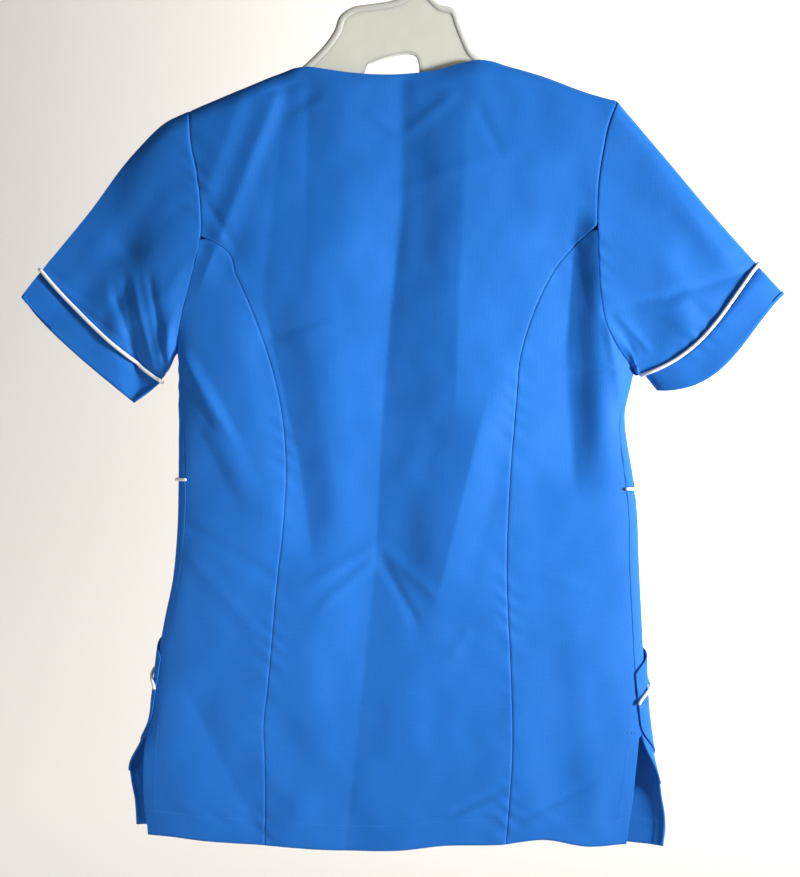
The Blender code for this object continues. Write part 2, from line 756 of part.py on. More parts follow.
def bar(name, places, diameter, collection, material, is_ring=False):
    """A round bar along the places."""
    curve = bpy.data.curves.new(name, "CURVE")
    curve.dimensions = "3D"
    curve.bevel_depth = diameter / 2
    curve.bevel_resolution = BAR_RESOLUTION
    curve.use_fill_caps = not is_ring
    spline = curve.splines.new("POLY")
    spline.points.add(len(places) - 1)
    for spot, place in zip(spline.points, places):
        spot.co = (*place, 1.0)
    spline.use_cyclic_u = is_ring
    curve.materials.append(material)
    piece = bpy.data.objects.new(name, curve)
    collection.objects.link(piece)
    return piece


def steps_of(*zones):
    """The levels of the grid's rows in the named zones."""
    return [step for zone in zones for step in ZONE_STEPS[zone]]


def spaced(count):
    return np.linspace(0.0, 1.0, count + 1)


def make_back(collection):
    """The back: a middle panel between the curved seams, and a side panel on each side."""
    grid, directions = panel_grid(
        lambda height: back_seam(-1, height),
        lambda height: back_seam(1, height),
        spaced(CENTRE_COLUMNS),
        steps_of("roll", "yoke", "armhole", "chest", "skirt", "vent"),
        False,
    )
    cloth_piece("back_centre", grid, directions, collection)
    for side in (-1, 1):
        grid, directions = panel_grid(
            lambda height: back_outer(side, height),
            lambda height: back_seam(side, height),
            spaced(SIDE_COLUMNS),
            steps_of("armhole", "chest", "skirt", "vent"),
            False,
        )
        cloth_piece(f"back_side_{name_of(side)}", grid, directions, collection)


def make_front(collection):
    """The front: an upper and a lower panel on each side, with a closed middle and a vee neck."""
    for side in (-1, 1):
        for level, zones in (("upper", ("roll", "yoke", "armhole", "chest")), ("lower", ("skirt", "vent"))):
            steps = steps_of(*zones)
            grid, directions = panel_grid(
                lambda height: front_outer(side, height),
                lambda height: front_inner(side, height),
                1 - (1 - spaced(FRONT_COLUMNS)) ** FRONT_COLUMN_CROWDING,
                steps if level == "upper" else [WAIST, *steps],
                True,
            )
            cloth_piece(f"front_{level}_{name_of(side)}", grid, directions, collection)


def make_sleeves(collection, white):
    """Each sleeve, its cuff, and the piping round the seam between them."""
    armhole_steps = steps_of("roll", "yoke", "armhole")
    last = len(SLEEVE_STEPS) - 1
    for side in (-1, 1):
        grid, directions = sleeve_grid(side, SLEEVE_STEPS + CUFF_STEPS, armhole_steps)
        for name, rows in (("sleeve", slice(0, last + 1)), ("cuff", slice(last, None))):
            cloth_piece(f"{name}_{name_of(side)}", grid[rows], directions[rows], collection, closed=True)
        lift = CUFF_PIPING_DIAMETER / 2 + CUFF_PIPING_STAND
        places = grid[last] + directions[last] * lift
        bar(f"cuff_piping_{name_of(side)}", places, CUFF_PIPING_DIAMETER, collection, white, True)


def make_waist_piping(collection, white):
    """The piping in the front's waist seam, from each side seam to the middle."""
    for side in (-1, 1):
        end = side * (math.pi - WAIST_PIPING_END)
        grid, directions = panel_grid(
            lambda height: front_outer(side, height),
            lambda height: end,
            spaced(WAIST_PIPING_POINTS),
            [WAIST],
            True,
        )
        lift = FLAT_PIPING_DIAMETER / 2 + FLAT_PIPING_STAND
        places = grid[0] + directions[0] * lift
        bar(f"waist_piping_{name_of(side)}", places, FLAT_PIPING_DIAMETER, collection, white)


def make_pockets(collection, white):
    """Each patch pocket, its band, and the piping between them."""
    for side in (-1, 1):
        shares = spaced(POCKET_COLUMNS) ** POCKET_COLUMN_CROWDING
        band, band_normal = pocket_grid(side, shares, spaced(BAND_ROWS), False)
        pocket, normal = pocket_grid(side, shares, spaced(POCKET_ROWS), True)
        cloth_piece(f"pocket_band_{name_of(side)}", band, band_normal, collection)
        cloth_piece(f"pocket_{name_of(side)}", pocket, normal, collection)
        lift = FLAT_PIPING_DIAMETER / 2 + FLAT_PIPING_STAND
        places = pocket[0] + normal[0] * lift
        bar(f"pocket_piping_{name_of(side)}", places, FLAT_PIPING_DIAMETER, collection, white)


def arm_height(across):
    """The middle of the hanger arm's rim, under the cloth of the shoulder."""
    return top_height(across, False) - HANGER_ARM_DROP


def smoothed(rows, per_span):
    """Places on a smooth curve through the rows' points."""
    across, height = rows["across"], rows["height"]
    walked = np.cumsum(np.hypot(np.diff(across, prepend=across[0]), np.diff(height, prepend=height[0])))
    track = {"walked": walked, "across": across, "height": height}
    at = np.linspace(0, walked[-1], per_span * (len(across) - 1) + 1)
    return np.stack(
        [curve_value(track, "walked", "across", at), curve_value(track, "walked", "height", at)], axis=-1
    )


def as_mesh(piece, collection):
    """The curve's solid as a mesh object, with its caps welded."""
    graph = bpy.context.evaluated_depsgraph_get()
    mesh = bpy.data.meshes.new_from_object(piece.evaluated_get(graph))
    shape = bmesh.new()
    shape.from_mesh(mesh)
    bmesh.ops.remove_doubles(shape, verts=shape.verts, dist=0.00001)
    bmesh.ops.recalc_face_normals(shape, faces=shape.faces)
    shape.to_mesh(mesh)
    shape.free()
    solid = bpy.data.objects.new(piece.name, mesh)
    solid.matrix_world = piece.matrix_world
    name = piece.name
    bpy.data.objects.remove(piece)
    solid.name = name
    collection.objects.link(solid)
    return solid


def flat_plate(name, outline, holes, collection, material):
    """An upright plate of the web's thickness from a flat outline with holes."""
    curve = bpy.data.curves.new(name, "CURVE")
    curve.dimensions = "2D"
    curve.fill_mode = "BOTH"
    curve.extrude = HANGER_WEB_THICKNESS / 2
    for places in (outline, *holes):
        spline = curve.splines.new("POLY")
        spline.points.add(len(places) - 1)
        for spot, (across, height) in zip(spline.points, places):
            spot.co = (across, height, 0.0, 1.0)
        spline.use_cyclic_u = True
    curve.materials.append(material)
    piece = bpy.data.objects.new(name, curve)
    piece.rotation_euler = (math.pi / 2, 0, 0)
    collection.objects.link(piece)
    bpy.context.view_layer.update()
    return piece


def make_hanger(collection, helpers, plastic):
    """A moulded hanger: a flat web with a window, rims along its top edges, and a hook."""
    arm_left = np.linspace(-HANGER_REACH, HANGER_ARM_STARTS[0], HANGER_ARM_POINTS)
    arm_right = np.linspace(HANGER_ARM_STARTS[1], HANGER_REACH, HANGER_ARM_POINTS)
    left_top = np.stack([arm_left, arm_height(arm_left)], axis=-1)
    right_top = np.stack([arm_right, arm_height(arm_right)], axis=-1)
    left_run = np.concatenate([left_top, smoothed(WEB_LEFT, 2)])
    right_run = np.concatenate([smoothed(WEB_RIGHT, 2), right_top])
    deeper = np.outer(np.linspace(HANGER_TIP_SHARE, 1, HANGER_ARM_POINTS), (0, HANGER_ARM_HEIGHT))
    lower = np.concatenate(
        [right_top[::-1] - deeper, smoothed(WEB_BOTTOM, 2), left_top[::-1] - deeper[::-1]]
    )
    outline = np.concatenate([left_run[:-1], NECK_TOP, right_run[1:], lower])
    plate = as_mesh(
        flat_plate("hanger_body", outline, [smoothed(WEB_WINDOW, 2)[:-1]], collection, plastic), collection
    )
    for name, run in (("rim_left", left_run), ("rim_right", right_run)):
        places = [(across, 0.0, height) for across, height in run]
        rim = as_mesh(bar(name, places, HANGER_RIM_DIAMETER, helpers, plastic), helpers)
        rim.hide_render = True
        rim.display_type = "WIRE"
        join = plate.modifiers.new(name, "BOOLEAN")
        join.operation = "UNION"
        join.object = rim
    turns = np.radians(np.linspace(HOOK_START, HOOK_END, HOOK_POINTS))
    radius = HOOK_INNER_RADIUS + HOOK_DIAMETER / 2
    loop = [(radius * math.cos(a), 0.0, radius * math.sin(a) - HOOK_INNER_RADIUS) for a in turns]
    stem = [(HOOK_STEM_ACROSS, 0.0, height) for height in (HOOK_STEM_BOTTOM, HOOK_STEM_TOP)]
    bar("hanger_hook", [*stem, *loop], HOOK_DIAMETER, collection, plastic)


def main():
    for leftover in list(bpy.data.objects):
        bpy.data.objects.remove(leftover, do_unlink=True)
    tunic = bpy.data.collections.new("nurse_tunic_on_hanger")
    helpers = bpy.data.collections.new("joined_shapes")
    for collection in (tunic, helpers):
        bpy.context.scene.collection.children.link(collection)
    white = plain_material("piping_white", PIPING_WHITE, 0.6)
    plastic = plain_material("milky_plastic", HANGER_MILKY, 0.4)
    make_back(tunic)
    make_front(tunic)
    make_sleeves(tunic, white)
    make_waist_piping(tunic, white)
    make_pockets(tunic, white)
    make_hanger(tunic, helpers, plastic)


main()
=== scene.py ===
"""The looks of a royal blue nurse's tunic that hangs on a milky plastic hanger.

Metres, +Z up. The origin is the inside top of the hanger's hook. The tunic's back faces -Y, and
+X is the wearer's right. The surfaces are the part's own, on a finer grid, with the smaller folds,
the seams, the hems and the stitches added.
"""

import math

import bmesh
import bpy
import numpy as np
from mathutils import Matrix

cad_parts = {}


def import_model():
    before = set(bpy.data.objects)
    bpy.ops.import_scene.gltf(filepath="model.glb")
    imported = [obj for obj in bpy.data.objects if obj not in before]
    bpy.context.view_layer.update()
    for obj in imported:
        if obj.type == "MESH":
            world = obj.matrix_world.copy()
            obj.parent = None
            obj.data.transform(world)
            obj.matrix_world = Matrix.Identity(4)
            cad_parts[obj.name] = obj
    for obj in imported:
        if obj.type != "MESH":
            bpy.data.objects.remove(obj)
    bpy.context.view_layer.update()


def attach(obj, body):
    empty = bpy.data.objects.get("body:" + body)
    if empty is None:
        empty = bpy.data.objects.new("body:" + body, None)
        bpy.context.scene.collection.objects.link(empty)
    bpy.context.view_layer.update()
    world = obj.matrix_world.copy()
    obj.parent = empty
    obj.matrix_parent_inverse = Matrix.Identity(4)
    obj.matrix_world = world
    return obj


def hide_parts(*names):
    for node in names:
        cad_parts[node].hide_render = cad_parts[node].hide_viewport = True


WALL = 0.0012

BODY_FLATNESS = 0.62
SHOULDER_ROLL = 0.016
NECK_STAND = 0.010
FLAP_LIFT = 0.35
FRONT_ARMHOLE_SCOOP = 0.008
UNDERARM_MARGIN = 0.0003
FOLD_FADE = 1.6
ROLL_SOFTNESS = 0.5

CUFF_PIPING_DIAMETER = 0.0034
CUFF_PIPING_STAND = 0.0008
FLAT_PIPING_DIAMETER = 0.0030
FLAT_PIPING_STAND = 0.0004
FLAT_PIPING_LIFT = FLAT_PIPING_DIAMETER / 2 + FLAT_PIPING_STAND

POCKET_WIDTH = 0.150
POCKET_BAND_HEIGHT = 0.027
POCKET_BOTTOM = -0.786
POCKET_MOUTH_GAPE = 0.0075
POCKET_STAND = 0.0017

HANGER_WEB_THICKNESS = 0.003
HANGER_RIM_DIAMETER = 0.0075
HOOK_DIAMETER = 0.0084
HOOK_INNER_RADIUS = 0.017
HOOK_STEM_BOTTOM, HOOK_STEM_TOP = -0.0497, -0.0437
HANGER_EDGE_ROUNDING = 0.0009
WINDOW_RIM_DIAMETER, RIM_FLATNESS = 0.0031, 0.62
# The rings of a bar's domed end: how far each stands out, and its radius, as shares.
CAP_REACHES, CAP_RADII = (0.5, 0.4, 0.22), (0.02, 0.6, 0.9)
TUBE_SIDES = 16
# A direction that no stitch or bar runs in.
ASLANT = (0.3, 1.0, 0.2)

# The looks' own sizes: the hem and its stitches, the set of the seams, and the grids.
HEM = 0.0225
HEM_STAND = 0.0004
STITCH_LENGTH, STITCH_GAP, THREAD = 0.0026, 0.0008, 0.00042
FOLDED_EDGE = 3 * THREAD
POCKET_STITCHED = (("last", 0.003), ("bottom", 0.003))
SEAM_GAP = 0.0002
STITCH_DIP, STITCH_REACH = 0.0003, 0.0015
SEAM_DIP, SEAM_REACH = 0.0005, 0.0010
SEAM_COLUMNS = (0.0005, 0.0011, 0.0018, 0.0027, 0.0040)
ALLOWANCE, VENT_TURN = 0.0006, 0.011
HEMMED = (("bottom", HEM),)
TURNED = (*HEMMED, ("first", VENT_TURN))
BAR_TACK_INSET, BAR_TACK_LENGTH, BAR_TACK_POINTS = 0.0015, 0.0125, 6
BAR_TACK_RISES = (0.0020, 0.0025, 0.0030)
PUCKER_DEPTH, PUCKER_REACH, PUCKER_PITCH = 0.0006, 0.010, 0.021
# The puckers' wave is slanted, its pitch wanders, and it swells and fades along the seam.
PUCKER_SLANT, PUCKER_WANDER, WANDER_PITCH = 0.7, 2.0, 0.23
PUCKER_EVEN, PUCKER_SWELL, SWELL_PITCH, SWELL_START = 0.55, 0.45, 0.11, 1.0
STITCHED_PUCKER = 0.4
CENTRE_COLUMNS, SIDE_COLUMNS, FRONT_COLUMNS, POCKET_COLUMNS = 124, 36, 84, 72
# About how wide the back's panels are, where their columns crowd beside the seams.
CENTRE_WIDTH, SIDE_WIDTH = 0.30, 0.09
POCKET_ROWS, BAND_ROWS = 54, 12
ROWS_PER_LEVEL, RING_POINTS_PER_LEVEL = 8, 7
SLEEVE_LEAN, SLEEVE_ROUNDNESS, SLEEVE_RISE, SLEEVE_SLOPE = 2.0, 0.5, 0.004, 0.020
SLEEVE_ROWS, CUFF_ROWS = 64, 12
# The level of the waist seam.
WAIST = 4

# The weave's threads run both ways. The cloth's tone is made of theirs and a slow change.
WEAVE_STRETCHES = ((900.0, 900.0, 70.0), (70.0, 900.0, 900.0))
WEAVE_SHARE, SLOW_SHARE, TONE_ENDS = 0.25, 0.5, (0.35, 0.65)

# Colours, and the places and strengths of the lights and the camera.
CLOTH_TONES = ((0.009, 0.142, 0.545), (0.011, 0.154, 0.580))
THREAD_TONES = ((0.028, 0.185, 0.600), (0.042, 0.215, 0.650))
PIPING_TONES = ((0.78, 0.81, 0.84), (0.86, 0.88, 0.90))
CLOTH_SHEEN, THREAD_SHEEN, PIPING_SHEEN = (0.35, 0.65, 1.0), (0.6, 0.8, 1.0), (1.0, 1.0, 1.0)
HANGER_TONES = ((0.62, 0.63, 0.56), (0.74, 0.74, 0.68))
FLOOR_TONES = ((0.80, 0.775, 0.74), (0.84, 0.825, 0.80))
# Each light: its place, what it points at, its size and its strength.
KEY_LIGHT = ((2.05, -1.00, -0.36), (0.18, 0.0, -0.41), 0.5, 11.0)
LOW_LIGHT = ((-0.80, -1.15, -0.95), (-0.16, 0.0, -0.68), 0.7, 0.46)
BACKDROP_LIGHT = ((2.6, 2.2, 1.2), (-0.5, 4.5, -0.3), 2.0, 255.0)
KEY_COLOUR, LOW_COLOUR, BACKDROP_COLOUR = (1.0, 0.985, 0.96), (1.0, 0.98, 0.95), (1.0, 0.97, 0.94)
KEY_SPREAD, LOW_SPREAD = math.radians(58), math.radians(36)
FILL_COLOUR, FILL_STRENGTH = (1.0, 0.99, 0.98), 0.17
FLOOR_HEIGHT, SWEEP_STARTS, SWEEP_RADIUS, SWEEP_TOP = -1.12, 1.5, 3.0, 4.0
FLOOR_FRONT, FLOOR_HALF_WIDTH, SWEEP_TURNS = -5.0, 6.0, np.linspace(3, 90, 30)
CAMERA_DISTANCE, CAMERA_HEIGHT, FRAME_HEIGHT, SENSOR = 1.6, -0.4636, 0.807, 36.0


def table(columns, *rows):
    """A short table, as one array for each named column."""
    return {name: np.array([row[i] for row in rows], float) for i, name in enumerate(columns)}


# The silhouette of the body on each side. Above the underarm it runs on inside the sleeve.
# seam_in is how far the side seam lies behind it, round the edge, towards the middle of the back.
LEFT_SIDE = table(
    ("height", "edge", "seam_in"),
    (-0.110, -0.232, 0.0),
    (-0.221, -0.231, 0.0),
    (-0.281, -0.225, 0.0),
    (-0.336, -0.214, 0.0),
    (-0.384, -0.2045, 0.0),
    (-0.428, -0.2035, 0.004),
    (-0.490, -0.2035, 0.0075),
    (-0.560, -0.2055, 0.007),
    (-0.594, -0.2090, 0.006),
    (-0.628, -0.2160, 0.005),
    (-0.653, -0.2205, 0.004),
    (-0.699, -0.2265, 0.003),
    (-0.726, -0.2310, 0.002),
    (-0.743, -0.2395, 0.002),
    (-0.762, -0.2490, 0.002),
    (-0.779, -0.2497, 0.002),
    (-0.803, -0.2463, 0.002),
    (-0.845, -0.2445, 0.002),
)
RIGHT_SIDE = table(
    ("height", "edge", "seam_in"),
    (-0.110, 0.240, 0.0),
    (-0.221, 0.238, 0.0),
    (-0.281, 0.233, 0.0),
    (-0.336, 0.226, 0.0),
    (-0.384, 0.2170, 0.0),
    (-0.402, 0.2150, 0.0),
    (-0.420, 0.2110, 0.002),
    (-0.438, 0.2070, 0.005),
    (-0.474, 0.2100, 0.008),
    (-0.500, 0.2145, 0.009),
    (-0.530, 0.2178, 0.009),
    (-0.575, 0.2195, 0.010),
    (-0.631, 0.2222, 0.010),
    (-0.663, 0.2237, 0.010),
    (-0.704, 0.2260, 0.009),
    (-0.735, 0.2300, 0.009),
    (-0.765, 0.2362, 0.009),
    (-0.790, 0.2425, 0.009),
    (-0.818, 0.2470, 0.009),
    (-0.845, 0.2445, 0.009),
)
# How far the cloth stands behind and before the hanger's plane at the middle.
DEPTHS = table(
    ("height", "back", "front"),
    (-0.110, 0.014, 0.014),
    (-0.170, 0.016, 0.018),
    (-0.221, 0.019, 0.024),
    (-0.281, 0.022, 0.030),
    (-0.350, 0.024, 0.034),
    (-0.428, 0.024, 0.032),
    (-0.510, 0.021, 0.026),
    (-0.600, 0.022, 0.027),
    (-0.700, 0.024, 0.029),
    (-0.845, 0.025, 0.030),
)
# The two curved back seams, each from its armhole to the hem.
BACK_LEFT_SEAM = table(
    ("height", "across"),
    (-0.279, -0.182),
    (-0.288, -0.164),
    (-0.316, -0.149),
    (-0.368, -0.127),
    (-0.428, -0.110),
    (-0.493, -0.104),
    (-0.539, -0.106),
    (-0.594, -0.112),
    (-0.686, -0.120),
    (-0.723, -0.124),
    (-0.760, -0.123),
    (-0.845, -0.123),
)
BACK_RIGHT_SEAM = table(
    ("height", "across"),
    (-0.269, 0.1795),
    (-0.286, 0.1610),
    (-0.307, 0.1430),
    (-0.332, 0.1290),
    (-0.359, 0.1180),
    (-0.387, 0.1100),
    (-0.428, 0.1060),
    (-0.520, 0.0990),
    (-0.575, 0.0970),
    (-0.686, 0.1010),
    (-0.741, 0.1020),
    (-0.845, 0.0950),
)
LEFT_ARMHOLE = table(
    ("height", "across"),
    (-0.163, -0.193),
    (-0.189, -0.192),
    (-0.221, -0.186),
    (-0.255, -0.182),
    (-0.279, -0.182),
    (-0.304, -0.187),
    (-0.327, -0.193),
    (-0.355, -0.2005),
    (-0.384, -0.2045),
)
RIGHT_ARMHOLE = table(
    ("height", "across"),
    (-0.1535, 0.1995),
    (-0.175, 0.1910),
    (-0.198, 0.1860),
    (-0.226, 0.1815),
    (-0.269, 0.1795),
    (-0.299, 0.1805),
    (-0.336, 0.1830),
    (-0.360, 0.1880),
    (-0.380, 0.1980),
    (-0.402, 0.2150),
)
# The top line from shoulder to shoulder, over the neckline of the back.
TOP_LINE = table(
    ("across", "height", "roll"),
    (-0.196, -0.1635, 1.0),
    (-0.138, -0.1392, 1.0),
    (-0.110, -0.1280, 1.0),
    (-0.097, -0.1243, 0.3),
    (-0.084, -0.1234, 0.0),
    (-0.068, -0.1256, 0.0),
    (-0.045, -0.1288, 0.0),
    (0.000, -0.1302, 0.0),
    (0.035, -0.1260, 0.0),
    (0.058, -0.1198, 0.0),
    (0.072, -0.1172, 0.0),
    (0.085, -0.1180, 0.3),
    (0.099, -0.1213, 1.0),
    (0.129, -0.1298, 1.0),
    (0.175, -0.1465, 1.0),
    (0.202, -0.1537, 1.0),
)
FRONT_NECK = table(
    ("height", "left", "right"),
    (-0.110, -0.084, 0.078),
    (-0.135, -0.079, 0.073),
    (-0.170, -0.064, 0.059),
    (-0.210, -0.042, 0.039),
    (-0.245, -0.020, 0.020),
    (-0.270, -0.001, 0.004),
)
NECK_POINTS = table(("across", "height"), (-0.084, -0.1234), (0.078, -0.1172))
VEE_BOTTOM = -0.270

BACK_HEM = table(
    ("across", "height"),
    (-0.250, -0.8250),
    (-0.228, -0.8252),
    (-0.205, -0.8264),
    (-0.184, -0.8290),
    (-0.125, -0.8328),
    (-0.050, -0.8376),
    (0.000, -0.8370),
    (0.040, -0.8328),
    (0.092, -0.8318),
    (0.130, -0.8278),
    (0.172, -0.8345),
    (0.205, -0.8330),
    (0.250, -0.8330),
)
FRONT_HEM = table(
    ("across", "height"),
    (-0.250, -0.8215),
    (-0.120, -0.8300),
    (0.000, -0.8330),
    (0.120, -0.8350),
    (0.205, -0.8390),
    (0.250, -0.8425),
)
# Where the back panels end below the top of each vent.
VENT_EDGES = table(
    ("height", "left", "right"),
    (-0.726, -0.2300, 0.2200),
    (-0.746, -0.2337, 0.2175),
    (-0.764, -0.2345, 0.2155),
    (-0.798, -0.2337, 0.2115),
    (-0.820, -0.2305, 0.2080),
    (-0.845, -0.2290, 0.2045),
)
FLAP_OPENS = 0.066
FLAP_ANGLE = math.radians(94)

# The levels of the body, as heights at its left and right sides, from the curved seams' tops down.
LEVELS = table(
    ("step", "left", "right"),
    (2, -0.279, -0.269),
    (3, -0.384, -0.402),
    (4, -0.501, -0.510),
    (5, -0.729, -0.735),
)
ROLL_END = 1

# Sections of each sleeve: the place of its top and underarm edges, how far it bows towards the
# cuff between them, and how far it stands behind and before its own plane. A skew above 1 moves
# the bow towards the underarm.
SLEEVE_COLUMNS = (
    "step",
    "top_across",
    "top_height",
    "under_across",
    "under_height",
    "bow",
    "skew",
    "depth",
)
SLEEVE_LEFT = table(
    SLEEVE_COLUMNS,
    (0.00, -0.1930, -0.1630, -0.2045, -0.3840, 0.000, 1.0, 0.014),
    (0.16, -0.2180, -0.1752, -0.2072, -0.3895, 0.000, 1.0, 0.017),
    (0.33, -0.2450, -0.2020, -0.2100, -0.3950, 0.000, 1.0, 0.019),
    (0.66, -0.2860, -0.2557, -0.2155, -0.4030, 0.003, 1.0, 0.019),
    (1.00, -0.3300, -0.3092, -0.2205, -0.4105, 0.005, 1.0, 0.017),
    (2.00, -0.3452, -0.3335, -0.2452, -0.4305, 0.006, 0.6, 0.016),
)
SLEEVE_RIGHT = table(
    SLEEVE_COLUMNS,
    (0.00, 0.1995, -0.1535, 0.2150, -0.4020, 0.000, 1.0, 0.014),
    (0.12, 0.2150, -0.1719, 0.2162, -0.4024, 0.001, 1.0, 0.016),
    (0.33, 0.2390, -0.2008, 0.2182, -0.4030, 0.004, 1.1, 0.019),
    (0.66, 0.2835, -0.2535, 0.2208, -0.4034, 0.008, 1.3, 0.020),
    (1.00, 0.3285, -0.3040, 0.2232, -0.4038, 0.0125, 1.5, 0.018),
    (2.00, 0.3535, -0.3305, 0.2366, -0.4195, 0.0190, 1.7, 0.017),
)

# A fold has two ends, a width on each side, and a depth, out if positive.
FOLD_COLUMNS = (
    "from_across",
    "from_height",
    "to_across",
    "to_height",
    "left_width",
    "right_width",
    "depth",
)
# The largest folds of the back and the front.
BACK_FOLDS = table(
    FOLD_COLUMNS,
    (0.002, -0.140, -0.006, -0.420, 0.060, 0.060, -0.0048),
    (-0.006, -0.400, -0.050, -0.835, 0.050, 0.060, -0.0045),
    (-0.120, -0.360, -0.080, -0.560, 0.030, 0.035, -0.0050),
    (-0.125, -0.150, -0.185, -0.310, 0.020, 0.045, -0.0050),
    (0.087, -0.400, 0.034, -0.606, 0.050, 0.030, 0.0035),
    (0.158, -0.260, 0.160, -0.500, 0.050, 0.024, -0.0035),
    (0.187, -0.240, 0.191, -0.460, 0.028, 0.030, 0.0050),
    (-0.200, -0.390, -0.140, -0.510, 0.016, 0.018, 0.0040),
    (-0.120, -0.720, -0.060, -0.800, 0.030, 0.030, -0.0035),
    (0.130, -0.640, 0.150, -0.820, 0.035, 0.035, -0.0035),
)
FRONT_FOLDS = table(
    FOLD_COLUMNS,
    (-0.120, -0.340, -0.100, -0.480, 0.030, 0.030, -0.0045),
    (0.125, -0.340, 0.110, -0.480, 0.030, 0.030, -0.0045),
    (-0.020, -0.560, -0.030, -0.820, 0.040, 0.035, -0.0040),
    (0.030, -0.580, 0.025, -0.820, 0.035, 0.040, -0.0040),
)
FOLD_TAPER = 0.3

SLEEVE_FOLDS = table(
    ("facing", "step", "share", "step_reach", "share_reach", "depth"),
    (-1, 0.40, 0.78, 0.45, 0.14, -0.0035),
    (-1, 0.75, 0.60, 0.30, 0.12, 0.0025),
    (-1, 0.55, 0.30, 0.60, 0.16, -0.0025),
    (1, 0.50, 0.75, 0.45, 0.15, -0.0035),
    (1, 0.60, 0.35, 0.50, 0.16, -0.0025),
)

# The creases and smaller folds, in the same columns. A crease is crisp along its line.
BACK_CREASES = table(
    FOLD_COLUMNS,
    # The pressed crease down the middle.
    (0.002, -0.105, 0.002, -0.244, 0.120, 0.045, -0.0028),
    (0.002, -0.244, -0.008, -0.345, 0.080, 0.050, -0.0046),
    (-0.008, -0.345, -0.016, -0.440, 0.070, 0.050, -0.0058),
    (-0.016, -0.440, -0.022, -0.575, 0.060, 0.055, -0.0046),
    (-0.022, -0.575, -0.053, -0.870, 0.050, 0.035, -0.0020),
    (0.002, -0.105, 0.002, -0.244, 0.020, 0.014, -0.0008),
    (0.002, -0.244, -0.008, -0.345, 0.020, 0.014, -0.0010),
    (-0.085, -0.105, -0.085, -0.270, 0.055, 0.065, -0.0036),
    # The crisp edge to the right of it, and the branches below.
    (0.060, -0.180, 0.050, -0.430, 0.045, 0.060, 0.0024),
    (0.076, -0.440, 0.034, -0.606, 0.040, 0.090, 0.0046),
    (-0.014, -0.566, 0.032, -0.606, 0.010, 0.012, 0.0012),
    (-0.016, -0.575, 0.016, -0.632, 0.010, 0.008, -0.0014),
    (-0.080, -0.594, -0.018, -0.560, 0.010, 0.012, 0.0015),
    (-0.074, -0.618, -0.022, -0.572, 0.012, 0.008, 0.0012),
    # The wedge between the left seam and the middle.
    (-0.104, -0.140, -0.126, -0.340, 0.040, 0.050, -0.0022),
    (-0.124, -0.340, -0.092, -0.485, 0.070, 0.046, -0.0036),
    (-0.093, -0.480, -0.080, -0.566, 0.040, 0.028, -0.0022),
    (-0.128, -0.376, -0.064, -0.352, 0.010, 0.020, -0.0012),
    # The yoke's slope and diagonal on the left, and the short creases at the neck.
    (-0.205, -0.150, -0.196, -0.260, 0.020, 0.050, -0.0022),
    (-0.112, -0.148, -0.142, -0.225, 0.045, 0.014, 0.0040),
    (-0.142, -0.225, -0.180, -0.320, 0.045, 0.018, 0.0036),
    (-0.124, -0.148, -0.092, -0.139, 0.004, 0.006, -0.0010),
    (-0.101, -0.163, -0.074, -0.146, 0.005, 0.005, -0.0010),
    (-0.096, -0.170, -0.068, -0.154, 0.004, 0.005, 0.0008),
    (-0.182, -0.240, -0.150, -0.290, 0.006, 0.008, -0.0010),
    (-0.032, -0.164, 0.002, -0.188, 0.008, 0.010, 0.0010),
    (0.002, -0.188, 0.048, -0.150, 0.012, 0.010, 0.0014),
    (0.002, -0.236, 0.110, -0.200, 0.010, 0.014, 0.0007),
    (0.070, -0.160, 0.092, -0.205, 0.010, 0.010, -0.0009),
    # The right side: the hollow beside the armhole, and the small folds at the hem.
    (0.160, -0.270, 0.152, -0.385, 0.090, 0.030, -0.0060),
    (0.152, -0.385, 0.160, -0.505, 0.090, 0.034, -0.0064),
    (0.160, -0.290, 0.172, -0.350, 0.014, 0.010, -0.0006),
    (0.188, -0.360, 0.205, -0.440, 0.008, 0.008, 0.0016),
    (0.050, -0.802, 0.098, -0.780, 0.006, 0.008, -0.0012),
    (0.050, -0.808, 0.100, -0.788, 0.006, 0.006, 0.0010),
    (0.105, -0.812, 0.178, -0.776, 0.008, 0.010, -0.0012),
    (0.046, -0.660, 0.064, -0.640, 0.012, 0.012, 0.0008),
    (0.128, -0.588, 0.176, -0.604, 0.012, 0.012, 0.0006),
    # The left side: the ridge from the armpit, and the slack above the vent.
    (-0.200, -0.384, -0.152, -0.466, 0.012, 0.010, 0.0018),
    (-0.205, -0.400, -0.172, -0.452, 0.012, 0.008, -0.0016),
    (-0.204, -0.538, -0.112, -0.592, 0.014, 0.010, -0.0010),
    (-0.196, -0.566, -0.130, -0.640, 0.016, 0.012, 0.0008),
    (-0.192, -0.700, -0.130, -0.820, 0.050, 0.070, -0.0036),
    # The sleeves.
    (-0.252, -0.318, -0.238, -0.430, 0.020, 0.040, -0.0044),
    (-0.262, -0.330, -0.238, -0.400, 0.008, 0.010, -0.0022),
    (-0.244, -0.320, -0.226, -0.400, 0.007, 0.007, 0.0016),
    (-0.228, -0.318, -0.214, -0.404, 0.006, 0.008, -0.0018),
    (-0.330, -0.318, -0.250, -0.306, 0.020, 0.020, 0.0014),
    (-0.305, -0.240, -0.240, -0.300, 0.030, 0.040, -0.0024),
    (-0.192, -0.215, -0.188, -0.300, 0.010, 0.012, 0.0008),
    (0.188, -0.346, 0.254, -0.332, 0.012, 0.008, -0.0022),
    (0.244, -0.334, 0.328, -0.308, 0.010, 0.008, -0.0015),
    (0.188, -0.352, 0.212, -0.384, 0.006, 0.006, -0.0016),
    (0.196, -0.350, 0.226, -0.382, 0.006, 0.008, 0.0014),
    (0.250, -0.240, 0.300, -0.300, 0.020, 0.024, 0.0012),
)
